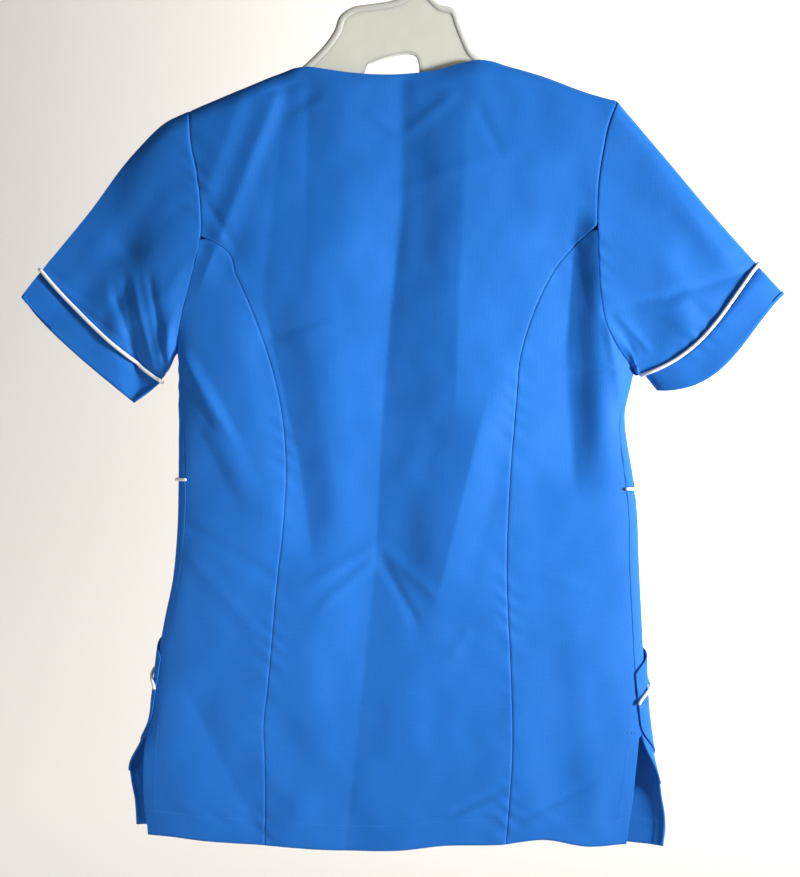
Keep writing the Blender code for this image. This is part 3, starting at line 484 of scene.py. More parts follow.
FRONT_CREASES = table(
    FOLD_COLUMNS,
    (-0.115, -0.170, -0.070, -0.300, 0.018, 0.026, -0.0016),
    (0.112, -0.165, 0.072, -0.300, 0.026, 0.016, -0.0016),
    (-0.180, -0.350, -0.105, -0.420, 0.012, 0.014, 0.0018),
    (-0.175, -0.380, -0.115, -0.450, 0.010, 0.012, -0.0014),
    (0.185, -0.350, 0.105, -0.425, 0.012, 0.014, 0.0018),
    (0.180, -0.385, 0.112, -0.455, 0.010, 0.012, -0.0014),
    (-0.090, -0.430, -0.060, -0.505, 0.016, 0.014, -0.0014),
    (0.088, -0.420, 0.062, -0.505, 0.014, 0.018, -0.0014),
    (-0.030, -0.520, -0.060, -0.640, 0.016, 0.020, -0.0014),
    (0.040, -0.520, 0.052, -0.660, 0.018, 0.016, -0.0012),
    (-0.012, -0.640, -0.030, -0.830, 0.020, 0.018, -0.0014),
    (0.045, -0.700, 0.030, -0.835, 0.016, 0.018, 0.0012),
    (-0.190, -0.230, -0.160, -0.330, 0.010, 0.012, -0.0012),
    (0.190, -0.225, 0.166, -0.330, 0.012, 0.010, -0.0012),
    (-0.300, -0.250, -0.235, -0.300, 0.024, 0.026, -0.0016),
    (-0.262, -0.330, -0.238, -0.400, 0.010, 0.010, -0.0018),
    (0.290, -0.240, 0.230, -0.310, 0.024, 0.024, -0.0014),
    (0.262, -0.330, 0.240, -0.395, 0.010, 0.010, -0.0018),
)
# Slow waves that keep the cloth from lying quite even.
WAVES = table(
    ("turn", "length", "start", "depth"),
    (0.35, 0.170, 0.4, 0.0007),
    (1.95, 0.115, 1.7, 0.0005),
    (1.10, 0.071, 3.1, 0.00030),
    (2.70, 0.047, 5.0, 0.00018),
    (0.15, 0.029, 2.2, 0.00007),
)
# The waves are bent by a longer one, and start elsewhere on the front.
WAVE_BEND, BEND_PITCH, FRONT_WAVE_START = 1.3, 0.6, 2.0
# At 0 a crease's slopes are even. A larger value makes it steep at its line, and it fades outwards.
FACET = 0.9
# How much of the part's own soft folds stays under the crisper ones.
FOLD_SHARE = 0.6

# The levels of the grids' rows. A whole number is a named level of the body.
ZONE_STEPS = {
    "roll": (0.0, 0.3, 0.6, 1.0),
    "yoke": (1.25, 1.5, 1.75, 2.0),
    "armhole": (2.03, 2.2, 2.4, 2.6, 2.8, 3.0),
    "chest": (3.25, 3.5, 3.75, 4.0),
    "skirt": (4.11, 4.22, 4.33, 4.44, 4.55, 4.66, 4.77, 4.89, 5.0),
    "vent": (5.15, 5.32, 5.54, 5.77, 6.0),
}
FRONT_LEVELS = (("upper", ("roll", "yoke", "armhole", "chest")), ("lower", ("skirt", "vent")))
# The steps by which a sleeve's rings are evenly spaced, straight and at their own depth.
SLEEVE_EVEN_BY, SLEEVE_STRAIGHT_BY, SLEEVE_FULL_BY = 0.6, 0.8, 0.55
FRONT_COLUMN_CROWDING = 0.8
POCKET_COLUMN_CROWDING = 1.6
SOLVER_ROUNDS = 14
SLOPE_TURN, SLOPE_DROP = 0.004, 0.00001

POCKET_MOUTHS = table(
    ("at_seam", "at_inner_edge"),
    (-0.6650, -0.6120),
    (-0.6785, -0.6240),
)
POCKET_MOUTH_CURVE = 0.75
# In radians round the body: how far a pocket's edge keeps off the seam, and off the open flap.
POCKET_EDGE_TURN, POCKET_SET_IN_TURN = 0.004, 0.33
POCKET_SET_IN_ABOVE, POCKET_SET_IN_REACH = 0.010, 0.045
# The shares of the mouth over which it closes at its ends, and how fast the gape fades below.
POCKET_SEAM_END, POCKET_INNER_END, POCKET_GAPE_FADE = 0.55, 0.3, 1.3
WAIST_PIPING_POINTS, WAIST_PIPING_END = 90, 0.02

WEB_LEFT = table(
    ("across", "height"),
    (-0.0895, -0.1262),
    (-0.0815, -0.1190),
    (-0.0665, -0.1035),
    (-0.0568, -0.0890),
    (-0.0520, -0.0765),
    (-0.0445, -0.0712),
    (-0.0240, -0.0672),
    (-0.0040, -0.0635),
    (0.0065, -0.0585),
    (0.0120, -0.0540),
)
WEB_RIGHT = table(
    ("across", "height"),
    (0.0225, -0.0540),
    (0.0280, -0.0600),
    (0.0360, -0.0675),
    (0.0478, -0.0712),
    (0.0533, -0.0845),
    (0.0590, -0.0985),
    (0.0640, -0.1090),
    (0.0740, -0.1185),
)
WEB_BOTTOM = table(
    ("across", "height"),
    (0.0660, -0.1480),
    (0.0300, -0.1630),
    (-0.0050, -0.1680),
    (-0.0400, -0.1650),
    (-0.0760, -0.1520),
)
WEB_WINDOW = table(
    ("across", "height"),
    (-0.0300, -0.1190),
    (-0.0130, -0.1125),
    (0.0160, -0.1118),
    (0.0190, -0.1290),
    (0.0120, -0.1480),
    (-0.0200, -0.1500),
    (-0.0350, -0.1380),
    (-0.0300, -0.1190),
)
NECK_TOP = ((0.0130, -0.0500), (0.0215, -0.0500))
HANGER_REACH = 0.170
HANGER_ARM_STARTS, HANGER_ARM_POINTS, HANGER_TIP_SHARE = (-0.098, 0.083), 30, 0.3
WEB_POINTS_PER_SPAN = 6
HANGER_ARM_DROP = 0.0060
HANGER_ARM_HEIGHT = 0.013
HOOK_START, HOOK_END, HOOK_POINTS = -25.0, 205.0, 80
HOOK_STEM_ACROSS = 0.0172


def curve_value(columns, key, column, at):
    """The column's value at a place of the key column, on a smooth curve through the rows."""
    keys, values = columns[key], columns[column]
    if keys[0] > keys[-1]:
        keys, values = keys[::-1], values[::-1]
    slopes = np.gradient(values, keys)
    place = np.clip(at, keys[0], keys[-1])
    row = np.clip(np.searchsorted(keys, place) - 1, 0, len(keys) - 2)
    span = keys[row + 1] - keys[row]
    part = (place - keys[row]) / span
    before, after = values[row], values[row + 1]
    return (
        before * (1 + 2 * part) * (1 - part) ** 2
        + slopes[row] * span * part * (1 - part) ** 2
        + after * part**2 * (3 - 2 * part)
        - slopes[row + 1] * span * part**2 * (1 - part)
    )


def ease(part):
    """From 0 to 1, with a flat start and end."""
    part = np.clip(part, 0.0, 1.0)
    return part * part * (3 - 2 * part)


def name_of(side):
    return "left" if side < 0 else "right"


def sides(height):
    """The body's middle and half width at a height."""
    left = curve_value(LEFT_SIDE, "height", "edge", height)
    right = curve_value(RIGHT_SIDE, "height", "edge", height)
    return (left + right) / 2, (right - left) / 2


def back_angle(across, height):
    """The angle round the body of a place on its back: 0 at the middle, and out to the sides."""
    middle, half = sides(height)
    return np.arcsin(np.clip((across - middle) / half, -1, 1))


def front_angle(across, height):
    """The same on the front: half a turn at the middle."""
    behind = back_angle(across, height)
    return np.where(behind < 0, -math.pi - behind, math.pi - behind)


def top_height(across, on_front):
    """The height of the top line. On the front it runs on level between the neck points."""
    line = curve_value(TOP_LINE, "across", "height", across)
    at_neck = (across > NECK_POINTS["across"][0]) & (across < NECK_POINTS["across"][1])
    level = np.interp(across, NECK_POINTS["across"], NECK_POINTS["height"])
    return np.where(at_neck & on_front, level, line)


def level_height(step, across, on_front):
    """The height of a level: 0 is the top line, 2 to 5 are in LEVELS, and 6 is the hem."""
    middle, half = sides(LEVELS["left"][1])
    share = np.clip((across - middle) / half, -1, 1) / 2 + 0.5
    top = top_height(across, on_front)
    hem = curve_value(FRONT_HEM if on_front else BACK_HEM, "across", "height", across)
    between = [left + (right - left) * share for left, right in zip(LEVELS["left"], LEVELS["right"])]
    marks = [top - SHOULDER_ROLL, *between, hem]
    result = top - SHOULDER_ROLL * (1 - np.cos(math.pi / 2 * np.clip(step, 0, ROLL_END)))
    for above, (start, end) in enumerate(zip(marks, marks[1:])):
        part = step - ROLL_END - above
        result = np.where(part > 0, start + (end - start) * part, result)
    return result


def fold_depth(folds, across, height, crisp=False):
    """How far the folds move the cloth out at a place of the body."""
    total = 0.0
    for row, depth in enumerate(folds["depth"]):
        start_across, start_height = folds["from_across"][row], folds["from_height"][row]
        run_across = folds["to_across"][row] - start_across
        run_height = folds["to_height"][row] - start_height
        length = math.hypot(run_across, run_height)
        off_across, off_height = across - start_across, height - start_height
        along = (off_across * run_across + off_height * run_height) / length**2
        beside = (off_height * run_across - off_across * run_height) / length
        width = np.where(beside > 0, folds["right_width"][row], folds["left_width"][row])
        away = np.abs(beside / width)
        left = np.clip(1 - away, 0, 1)
        profile = left**2 * (1 + FACET) / (left + FACET) if crisp else np.clip(1 - away**2, 0, 1) ** 2
        ends = ease(along / FOLD_TAPER + 0.5) * ease((1 - along) / FOLD_TAPER + 0.5)
        total = total + depth * profile * ends
    return total


def small_folds(across, height, on_front):
    """The creases and the slow waves of one side of the cloth."""
    creases = FRONT_CREASES if on_front else BACK_CREASES
    total = fold_depth(creases, across, height, crisp=True)
    side_start = FRONT_WAVE_START if on_front else 0.0
    for turn, length, start, depth in zip(*WAVES.values()):
        turning = 2 * math.pi / length
        along = across * math.cos(turn) + height * math.sin(turn)
        beside = height * math.cos(turn) - across * math.sin(turn)
        bend = WAVE_BEND * np.sin(turning * beside * BEND_PITCH + start)
        total = total + depth * np.sin(turning * along + start + side_start + bend)
    return total


def body_at(angle, height, on_front):
    """A point of the body's outer face at an angle round it and a height."""
    middle, half = sides(height)
    across = middle + half * np.sin(angle)
    faces_front = np.abs(angle) > math.pi / 2
    crown = np.abs(np.cos(angle)) ** BODY_FLATNESS
    vent_top = np.where(across < middle, LEVELS["left"][-1], LEVELS["right"][-1])
    lift = FLAP_LIFT * ease((vent_top - height) / FLAP_OPENS)
    faded = ease(crown * FOLD_FADE)
    back = curve_value(DEPTHS, "height", "back", height) * crown
    back_folds = FOLD_SHARE * fold_depth(BACK_FOLDS, across, height) + small_folds(across, height, False)
    back = back + back_folds * faded
    front = curve_value(DEPTHS, "height", "front", height) * (lift + (1 - lift) * crown)
    front_folds = fold_depth(FRONT_FOLDS, across, height) + small_folds(across, height, True)
    front = front + front_folds * faded
    drop = np.clip((top_height(across, on_front) - height) / SHOULDER_ROLL, 0, 1)
    roll = np.clip(curve_value(TOP_LINE, "across", "roll", across), 0, 1)
    rise = np.clip(1 - (1 - drop) ** 2, 0, 1) ** (1 - ROLL_SOFTNESS * roll)
    stand = NECK_STAND * (1 - roll)
    depth = stand + (np.where(faces_front, front, back) - stand) * rise
    depth = np.where(faces_front, depth, -depth)
    return np.stack(np.broadcast_arrays(across, depth, height), axis=-1)


def seam_angle(side, height):
    """The side seam: on the silhouette at the underarm, and behind it lower down."""
    columns = LEFT_SIDE if side < 0 else RIGHT_SIDE
    edge = curve_value(columns, "height", "edge", height)
    inset = np.maximum(curve_value(columns, "height", "seam_in", height), 0)
    return back_angle(edge - side * inset, height)


def armhole_across(side, height, scoop):
    """The armhole's place across the body, cut in further at its middle by the scoop."""
    armhole = LEFT_ARMHOLE if side < 0 else RIGHT_ARMHOLE
    heights = armhole["height"]
    part = np.clip((height - heights[0]) / (heights[-1] - heights[0]), 0, 1)
    return curve_value(armhole, "height", "across", height) - side * scoop * np.sin(math.pi * part)


def underarm_height(side):
    """The height below which the panels' outer edges follow the side seam."""
    return (LEFT_ARMHOLE if side < 0 else RIGHT_ARMHOLE)["height"][-1] + UNDERARM_MARGIN


def vent_height(side):
    return LEVELS[name_of(side)][-1]


def back_outer(side, height):
    """The back's outer edge: the armhole, then the side seam, then the vent."""
    armhole = back_angle(armhole_across(side, height, 0.0), height)
    vent = back_angle(curve_value(VENT_EDGES, "height", name_of(side), height), height)
    lower = np.where(height < vent_height(side), vent, seam_angle(side, height))
    return np.where(height > underarm_height(side), armhole, lower)


def back_seam(side, height):
    """The curved back seam, with the armhole above it."""
    seam = BACK_LEFT_SEAM if side < 0 else BACK_RIGHT_SEAM
    lower = curve_value(seam, "height", "across", height)
    upper = armhole_across(side, height, 0.0)
    return back_angle(np.where(height > seam["height"][0], upper, lower), height)


def front_outer(side, height):
    """The front's outer edge: a scooped armhole, then the side seam, then the free flap."""
    armhole = front_angle(armhole_across(side, height, FRONT_ARMHOLE_SCOOP), height)
    start = seam_angle(side, vent_height(side))
    opened = ease((vent_height(side) - height) / FLAP_OPENS)
    flap = start + (side * FLAP_ANGLE - start) * opened
    lower = np.where(height < vent_height(side), flap, seam_angle(side, height))
    return np.where(height > underarm_height(side), armhole, lower)


def front_inner(side, height):
    """The front's inner edge: the neckline, then the closed middle."""
    across = curve_value(FRONT_NECK, "height", name_of(side), height)
    return np.where(height > VEE_BOTTOM, front_angle(across, height), side * math.pi)


def panel_grid(first_edge, second_edge, shares, steps, on_front):
    """A panel's points from its first edge to its second, a row for each level."""
    shares, steps = np.asarray(shares)[None, :], np.asarray(steps)[:, None]
    across = np.zeros((steps.size, shares.size))
    for _ in range(SOLVER_ROUNDS):
        height = level_height(steps, across, on_front)
        angle = first_edge(height) * (1 - shares) + second_edge(height) * shares
        middle, half = sides(height)
        across = middle + half * np.sin(angle)
    return body_at(angle, height, on_front), body_normal(angle, height, on_front)


def body_normal(angle, height, on_front):
    """The direction out of the body's outer face."""
    ahead, behind = (body_at(angle + turn, height, on_front) for turn in (SLOPE_TURN, -SLOPE_TURN))
    rise = body_at(angle, height, on_front) - body_at(angle, height - SLOPE_DROP, on_front)
    normal = np.cross(ahead - behind, rise)
    return normal / np.linalg.norm(normal, axis=-1, keepdims=True)


def armhole_loop(side, steps):
    """The armhole's points and directions down the back, and down the front, at the same levels."""

    def back_edge(height):
        return back_outer(side, height)

    def front_edge(height):
        return front_outer(side, height)

    back = panel_grid(back_edge, back_edge, [0.0], steps, False)
    front = panel_grid(front_edge, front_edge, [0.0], steps, True)
    return [[values[:, 0] for values in half] for half in (back, front)]


def section_line(value, share, side):
    """Places down a sleeve's section, across and up, bowed towards the cuff."""
    top = np.array((value["top_across"], value["top_height"]))
    run = np.array((value["under_across"], value["under_height"])) - top
    out = np.array((run[1], -run[0])) / math.hypot(*run)
    out = out * np.sign(out[0] * side)
    skewed = share ** value["skew"]
    bow = value["bow"] * 4 * skewed * (1 - skewed)
    return top + np.outer(share, run) + np.outer(bow, out)


def sleeve_fold(step, share, facing):
    """How far the sleeve's folds move its cloth out."""
    total = np.zeros(np.shape(share))
    for row, depth in enumerate(SLEEVE_FOLDS["depth"]):
        if SLEEVE_FOLDS["facing"][row] != facing:
            continue
        along = (step - SLEEVE_FOLDS["step"][row]) / SLEEVE_FOLDS["step_reach"][row]
        beside = (share - SLEEVE_FOLDS["share"][row]) / SLEEVE_FOLDS["share_reach"][row]
        near = np.clip(1 - along**2, 0, 1) * np.clip(1 - beside**2, 0, 1)
        total = total + depth * near**2
    return total


def ring_directions(grid):
    """The directions out of a sleeve's grid of closed rings."""
    round_it = np.roll(grid, -1, axis=1) - np.roll(grid, 1, axis=1)
    normal = np.cross(round_it, np.gradient(grid, axis=0))
    normal = normal / np.linalg.norm(normal, axis=-1, keepdims=True)
    away = grid - grid.mean(axis=1, keepdims=True)
    return normal * np.sign((normal * away).sum())


def sleeve_grid(side, sleeve_steps, armhole_steps):
    """A closed ring for each step from the armhole, 0, past the piping, 1, to the cuff's edge, 2."""
    section = SLEEVE_LEFT if side < 0 else SLEEVE_RIGHT
    loops = armhole_loop(side, armhole_steps)
    count = len(armhole_steps) - 1
    even = (1 - np.cos(np.pi * np.arange(count + 1) / count)) / 2
    begin = {name: values[0] for name, values in section.items()}
    rings = []
    for step in sleeve_steps:
        value = {name: curve_value(section, "step", name, step) for name in section}
        halves = []
        for (loop, _directions), facing in zip(loops, (-1, 1)):
            walked = np.cumsum(np.linalg.norm(np.diff(loop, axis=0, prepend=loop[:1]), axis=1))
            own = walked / walked[-1]
            share = own + (even - own) * ease(step / SLEEVE_EVEN_BY) ** 2
            miss = loop[:, [0, 2]] - section_line(begin, own, side)
            place = section_line(value, share, side) + miss * (1 - ease(step / SLEEVE_STRAIGHT_BY))
            leans = side < 0 and facing < 0
            leaning = share ** (SLEEVE_LEAN if leans else 1)
            crown = np.clip(1 - (2 * leaning - 1) ** 2, 0, 1)
            crown = crown ** (SLEEVE_ROUNDNESS if leans else BODY_FLATNESS / 2)
            folds = sleeve_fold(step, share, facing) + small_folds(place[:, 0], place[:, 1], facing > 0)
            lean = SLEEVE_SLOPE * min(step, 1.0) - SLEEVE_RISE if leans else 0.0
            settled = (value["depth"] - lean) * crown + folds * ease(crown * FOLD_FADE)
            blend = ease(step / SLEEVE_FULL_BY)
            depth = loop[:, 1] * (1 - blend) + facing * settled * blend
            halves.append(np.stack([place[:, 0], depth, place[:, 1]], axis=-1))
        rings.append(np.concatenate([halves[0], halves[1][-2:0:-1]]))
    directions = ring_directions(np.array(rings))
    directions[0] = np.concatenate([loops[0][1], loops[1][1][-2:0:-1]])
    return np.array(rings), directions


def mouth_height(side, share):
    """The slanted top of a pocket, from the side seam, 0, to its inner edge, 1."""
    row = 0 if side < 0 else 1
    start, end = POCKET_MOUTHS["at_seam"][row], POCKET_MOUTHS["at_inner_edge"][row]
    return start + (end - start) * share**POCKET_MOUTH_CURVE


def pocket_grid(side, shares, drops, lower):
    """Points of a pocket's band, or of the pocket below it, outside the front's cloth."""
    shares, drops = np.asarray(shares)[None, :], np.asarray(drops)[:, None]
    mouth = mouth_height(side, shares)
    seam = mouth - POCKET_BAND_HEIGHT
    height = seam + (POCKET_BOTTOM - seam) * drops if lower else mouth + (seam - mouth) * drops
    outer = front_outer(side, height)
    middle, half = sides(height)
    inner = front_angle(middle + side * (half - POCKET_WIDTH), height)
    into_vent = ease((vent_height(side) + POCKET_SET_IN_ABOVE - height) / POCKET_SET_IN_REACH)
    outer = outer + side * (POCKET_EDGE_TURN + POCKET_SET_IN_TURN * into_vent)
    angle = outer + (inner - outer) * shares
    down = (mouth - height) / (mouth - POCKET_BOTTOM)
    ends = ease(shares / POCKET_SEAM_END) * ease((1 - shares) / POCKET_INNER_END)
    gape = POCKET_MOUTH_GAPE * ends * (1 - down) ** POCKET_GAPE_FADE
    normal = body_normal(angle, height, True)
    return body_at(angle, height, True) + normal * (POCKET_STAND + gape)[..., None], normal


def pulled_in(grid, gap, closed):
    """The grid with each open edge moved in by half the gap between two pieces."""
    points = grid.copy()

    def pull(edge, inner, is_ring):
        run = np.roll(edge, -1, 0) - np.roll(edge, 1, 0) if is_ring else np.gradient(edge, axis=0)
        run = run / np.linalg.norm(run, axis=1, keepdims=True)
        reach = inner - edge
        reach = reach - (reach * run).sum(axis=1, keepdims=True) * run
        return gap / 2 * reach / np.linalg.norm(reach, axis=1, keepdims=True)

    points[0] += pull(grid[0], grid[1], closed)
    points[-1] += pull(grid[-1], grid[-2], closed)
    if not closed:
        points[:, 0] += pull(grid[:, 0], grid[:, 1], False)
        points[:, -1] += pull(grid[:, -1], grid[:, -2], False)
    return points


def steps_of(*zones):
    """The levels of the grid's rows in the named zones."""
    return [step for zone in zones for step in ZONE_STEPS[zone]]


def spaced(count):
    return np.linspace(0.0, 1.0, count + 1)


def arm_height(across):
    """The middle of the hanger arm's rim, under the cloth of the shoulder."""
    return top_height(across, False) - HANGER_ARM_DROP


def smoothed(rows):
    """Places on a smooth curve through the rows' points."""
    across, height = rows["across"], rows["height"]
    moves = [np.diff(values, prepend=values[0]) for values in (across, height)]
    walked = np.cumsum(np.hypot(*moves))
    track = {"walked": walked, "across": across, "height": height}
    at = np.linspace(0, walked[-1], WEB_POINTS_PER_SPAN * (len(across) - 1) + 1)
    return np.stack([curve_value(track, "walked", name, at) for name in ("across", "height")], axis=-1)


def finer(steps, per_level):
    """The levels with evenly spaced ones between them."""
    count = (len(steps) - 1) * per_level + 1
    return np.interp(np.linspace(0, len(steps) - 1, count), np.arange(len(steps)), steps)


def crowded(count, width):
    """Even shares from 0 to 1, with closer ones beside both seams of a piece of this width."""
    beside = np.array(SEAM_COLUMNS) / width
    between = np.linspace(beside[-1], 1 - beside[-1], count)[1:-1]
    return np.concatenate([[0.0], beside, between, 1 - beside[::-1], [1.0]])


def distances(grid):
    """How far each point of a grid is from its top, bottom, first and last edge, over the cloth."""
    down = np.cumsum(np.linalg.norm(np.diff(grid, axis=0, prepend=grid[:1]), axis=-1), axis=0)
    along = np.cumsum(np.linalg.norm(np.diff(grid, axis=1, prepend=grid[:, :1]), axis=-1), axis=1)
    return {"top": down, "bottom": down[-1:] - down, "first": along, "last": along[:, -1:] - along}


def sewn(grid, directions, seams=(), hems=(), stitched=()):
    """The grid with its seams set in and puckered, its hems raised and its stitch lines sunk."""
    from_edge = distances(grid)
    turning = 2 * math.pi / PUCKER_PITCH
    place = grid[..., 2] + PUCKER_SLANT * grid[..., 0]
    wander = PUCKER_WANDER * np.sin(turning * WANDER_PITCH * place)
    swell = PUCKER_EVEN + PUCKER_SWELL * np.sin(turning * SWELL_PITCH * place + SWELL_START)
    ripple = PUCKER_DEPTH * np.sin(turning * place + wander) * swell
    out = np.zeros(grid.shape[:2])
    if seams:
        away = np.min([from_edge[edge] for edge in seams], axis=0)
        out -= SEAM_DIP * np.exp(-((away / SEAM_REACH) ** 2))
        out += ripple * np.exp(-((away / PUCKER_REACH) ** 2))
    for edge in hems:
        away = from_edge[edge]
        out += HEM_STAND * ease((HEM - away) / FOLDED_EDGE + 0.5)
    for edge, inset in stitched:
        away = from_edge[edge] - inset
        out -= STITCH_DIP * np.exp(-((away / STITCH_REACH) ** 2))
        out += STITCHED_PUCKER * ripple * np.exp(-((away / PUCKER_REACH) ** 2))
    return grid + directions * out[..., None]


def line_beside(grid, edge, inset):
    """The points of a grid's surface that lie an inset away from one of its edges."""
    away = distances(grid)[edge]
    if edge in ("first", "last"):
        away, grid = away.T, grid.transpose(1, 0, 2)
    places = []
    for column in range(grid.shape[1]):
        reach, points = away[:, column], grid[:, column]
        if reach[0] > reach[-1]:
            reach, points = reach[::-1], points[::-1]
        places.append([np.interp(inset, reach, points[:, axis]) for axis in range(3)])
    return np.array(places)


def mesh_piece(name, vertices, faces, material, slot, smooth=True):
    """A piece of the looks that rides on the part's only body."""
    mesh = bpy.data.meshes.new(name)
    mesh.from_pydata(vertices.tolist(), [], faces)
    mesh.validate()
    shape = bmesh.new()
    shape.from_mesh(mesh)
    bmesh.ops.recalc_face_normals(shape, faces=shape.faces)
    shape.to_mesh(mesh)
    shape.free()
    if smooth:
        mesh.shade_smooth()
    mesh.materials.append(material)
    piece = bpy.data.objects.new(name, mesh)
    bpy.context.scene.collection.objects.link(piece)
    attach(piece, "root")
    return piece


def shell_faces(rows, columns, closed):
    """The faces of a wall whose outer layer's points come before those of its inner layer."""
    index = np.arange(2 * rows * columns).reshape(2, rows, columns)
    if closed:
        index = np.concatenate([index, index[:, :, :1]], axis=2)

    def quads(first, second):
        corners = np.stack([first[:-1], second[:-1], second[1:], first[1:]], axis=-1)
        return corners.reshape(-1, 4).tolist()

    faces = []
    for layer in index:
        for row in range(rows - 1):
            faces += quads(layer[row], layer[row + 1])
    for row in (0, -1):
        faces += quads(index[0, row], index[1, row])
    if not closed:
        for column in (0, -1):
            faces += quads(index[0, :, column], index[1, :, column])
    return faces


def cloth_piece(name, grid, directions, material, closed=False, turned=()):
    """A cloth wall, which stands for the part's plain one.

    Its inside is thicker along the edges that are turned in, each with how far.
    """
    outer = pulled_in(grid, SEAM_GAP, closed)
    wall = np.full(outer.shape[:2], WALL)
    for edge, reach in turned:
        wall += ALLOWANCE * ease((reach - distances(outer)[edge]) / FOLDED_EDGE + 0.5)
    inner = outer - wall[..., None] * directions
    vertices = np.concatenate([outer.reshape(-1, 3), inner.reshape(-1, 3)])
    faces = shell_faces(*outer.shape[:2], closed)
    piece = mesh_piece(f"{name}_cloth", vertices, faces, material, "cloth_blue")
    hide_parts(name)
    return outer, inner


def frames_along(places, closed):
    """Two directions across a line at each of its places, which turn as little as they can."""
    run = np.roll(places, -1, 0) - np.roll(places, 1, 0) if closed else np.gradient(places, axis=0)
    run = run / np.linalg.norm(run, axis=1, keepdims=True)
    start = np.cross(run[0], ASLANT)
    first = [start / np.linalg.norm(start)]
    for direction in run[1:]:
        turned = first[-1] - direction * np.dot(first[-1], direction)
        first.append(turned / np.linalg.norm(turned))
    first = np.array(first)
    return first, np.cross(run, first)


def tube(places, diameter, closed=False, sides_round=TUBE_SIDES):
    """The vertices and faces of a round bar along the places, with domed ends where it is open."""
    places = np.asarray(places, float)
    radii = np.full(len(places), diameter / 2)
    if not closed:
        ends = np.array(CAP_RADII) * diameter / 2
        caps = np.array(CAP_REACHES) * diameter
        start_run = (places[0] - places[1]) / np.linalg.norm(places[0] - places[1])
        end_run = (places[-1] - places[-2]) / np.linalg.norm(places[-1] - places[-2])
        head = places[0] + np.outer(caps, start_run)
        tail = places[-1] + np.outer(caps, end_run)
        places = np.concatenate([head, places, tail[::-1]])
        radii = np.concatenate([ends, radii, ends[::-1]])
    first, second = frames_along(places, closed)
    turns = 2 * math.pi * np.arange(sides_round) / sides_round
    cosines, sines = (np.reshape(values, (1, -1, 1)) for values in (np.cos(turns), np.sin(turns)))
    around = cosines * first[:, None] + sines * second[:, None]
    vertices = (places[:, None] + around * radii[:, None, None]).reshape(-1, 3)
    count = len(places)
    faces = []
    for ring in range(count if closed else count - 1):
        after = (ring + 1) % count
        for spot in range(sides_round):
            right = (spot + 1) % sides_round
            faces.append(
                [
                    ring * sides_round + spot,
                    ring * sides_round + right,
                    after * sides_round + right,
                    after * sides_round + spot,
                ]
            )
    if not closed:
        faces.append(list(range(sides_round)))
        faces.append([(count - 1) * sides_round + spot for spot in range(sides_round)])
    return vertices, faces


def stitches(lines):
    """The vertices and faces of a stitch on each bit of the lines, as thin spindles."""
    vertices, faces = [], []
    for line in lines:
        walked = np.concatenate([[0], np.cumsum(np.linalg.norm(np.diff(line, axis=0), axis=1))])
        for start in np.arange(STITCH_GAP, walked[-1] - STITCH_LENGTH, STITCH_LENGTH + STITCH_GAP):
            ends = [
                np.array([np.interp(at, walked, line[:, axis]) for axis in range(3)])
                for at in (start, start + STITCH_LENGTH)
            ]
            run = (ends[1] - ends[0]) / np.linalg.norm(ends[1] - ends[0])
            first = np.cross(run, ASLANT)
            first = first / np.linalg.norm(first) * THREAD / 2
            second = np.cross(run, first)
            base = len(vertices)
            quarter = (ends[1] - ends[0]) / 4
            for centre in (ends[0] + quarter, ends[1] - quarter):
                vertices += [centre + first, centre + second, centre - first, centre - second]
            vertices += [ends[0], ends[1]]
            for spot in range(4):
                after = (spot + 1) % 4
                faces.append([base + spot, base + after, base + 4 + after, base + 4 + spot])
                faces.append([base + 8, base + after, base + spot])
                faces.append([base + 9, base + 4 + spot, base + 4 + after])
    return np.array(vertices), faces


def stitching(name, lines, material):
    """One piece that holds the stitches of several lines."""
    vertices, faces = stitches(lines)
    return mesh_piece(name, vertices, faces, material, "cloth_blue")


def turned_lines(side, faces):
    """The stitch lines of a panel's hem and of its edge beside the vent, on both faces."""
    lines = []
    for face in faces:
        lines.append(line_beside(face, "bottom", HEM))
        edge = line_beside(face, "first", VENT_TURN)
        lines.append(edge[edge[:, 2] < vent_height(side)])
    return lines


def back_tack(side, height):
    """A short line of stitches on the back's side panel, from the top of the vent inwards."""
    edge = curve_value(VENT_EDGES, "height", name_of(side), vent_height(side))
    inset = np.linspace(BAR_TACK_INSET, BAR_TACK_LENGTH, BAR_TACK_POINTS)
    angle = back_angle(edge - side * inset, height)
    return body_at(angle, height, False) + body_normal(angle, height, False) * THREAD / 2


def make_back(cloth, thread):
    """The back's three panels, with the hem and its stitches."""
    centre_steps = finer(steps_of("roll", "yoke", "armhole", "chest", "skirt", "vent"), ROWS_PER_LEVEL)
    side_steps = finer(steps_of("armhole", "chest", "skirt", "vent"), ROWS_PER_LEVEL)
    lines = []
    grid, directions = panel_grid(
        lambda height: back_seam(-1, height),
        lambda height: back_seam(1, height),
        crowded(CENTRE_COLUMNS, CENTRE_WIDTH),
        centre_steps,
        False,
    )
    grid = sewn(grid, directions, ("first", "last"), ("bottom",), HEMMED)
    faces = cloth_piece("back_centre", grid, directions, cloth, turned=HEMMED)
    lines += [line_beside(face, "bottom", HEM) for face in faces]
    for side in (-1, 1):
        name = f"back_side_{name_of(side)}"
        grid, directions = panel_grid(
            lambda height: back_outer(side, height),
            lambda height: back_seam(side, height),
            crowded(SIDE_COLUMNS, SIDE_WIDTH),
            side_steps,
            False,
        )
        grid = sewn(grid, directions, ("last",), ("bottom",), HEMMED)
        faces = cloth_piece(name, grid, directions, cloth, turned=TURNED)
        lines += turned_lines(side, faces)
        lines += [back_tack(side, vent_height(side) + rise) for rise in BAR_TACK_RISES]
    stitching("back_hem_stitches", lines, thread)


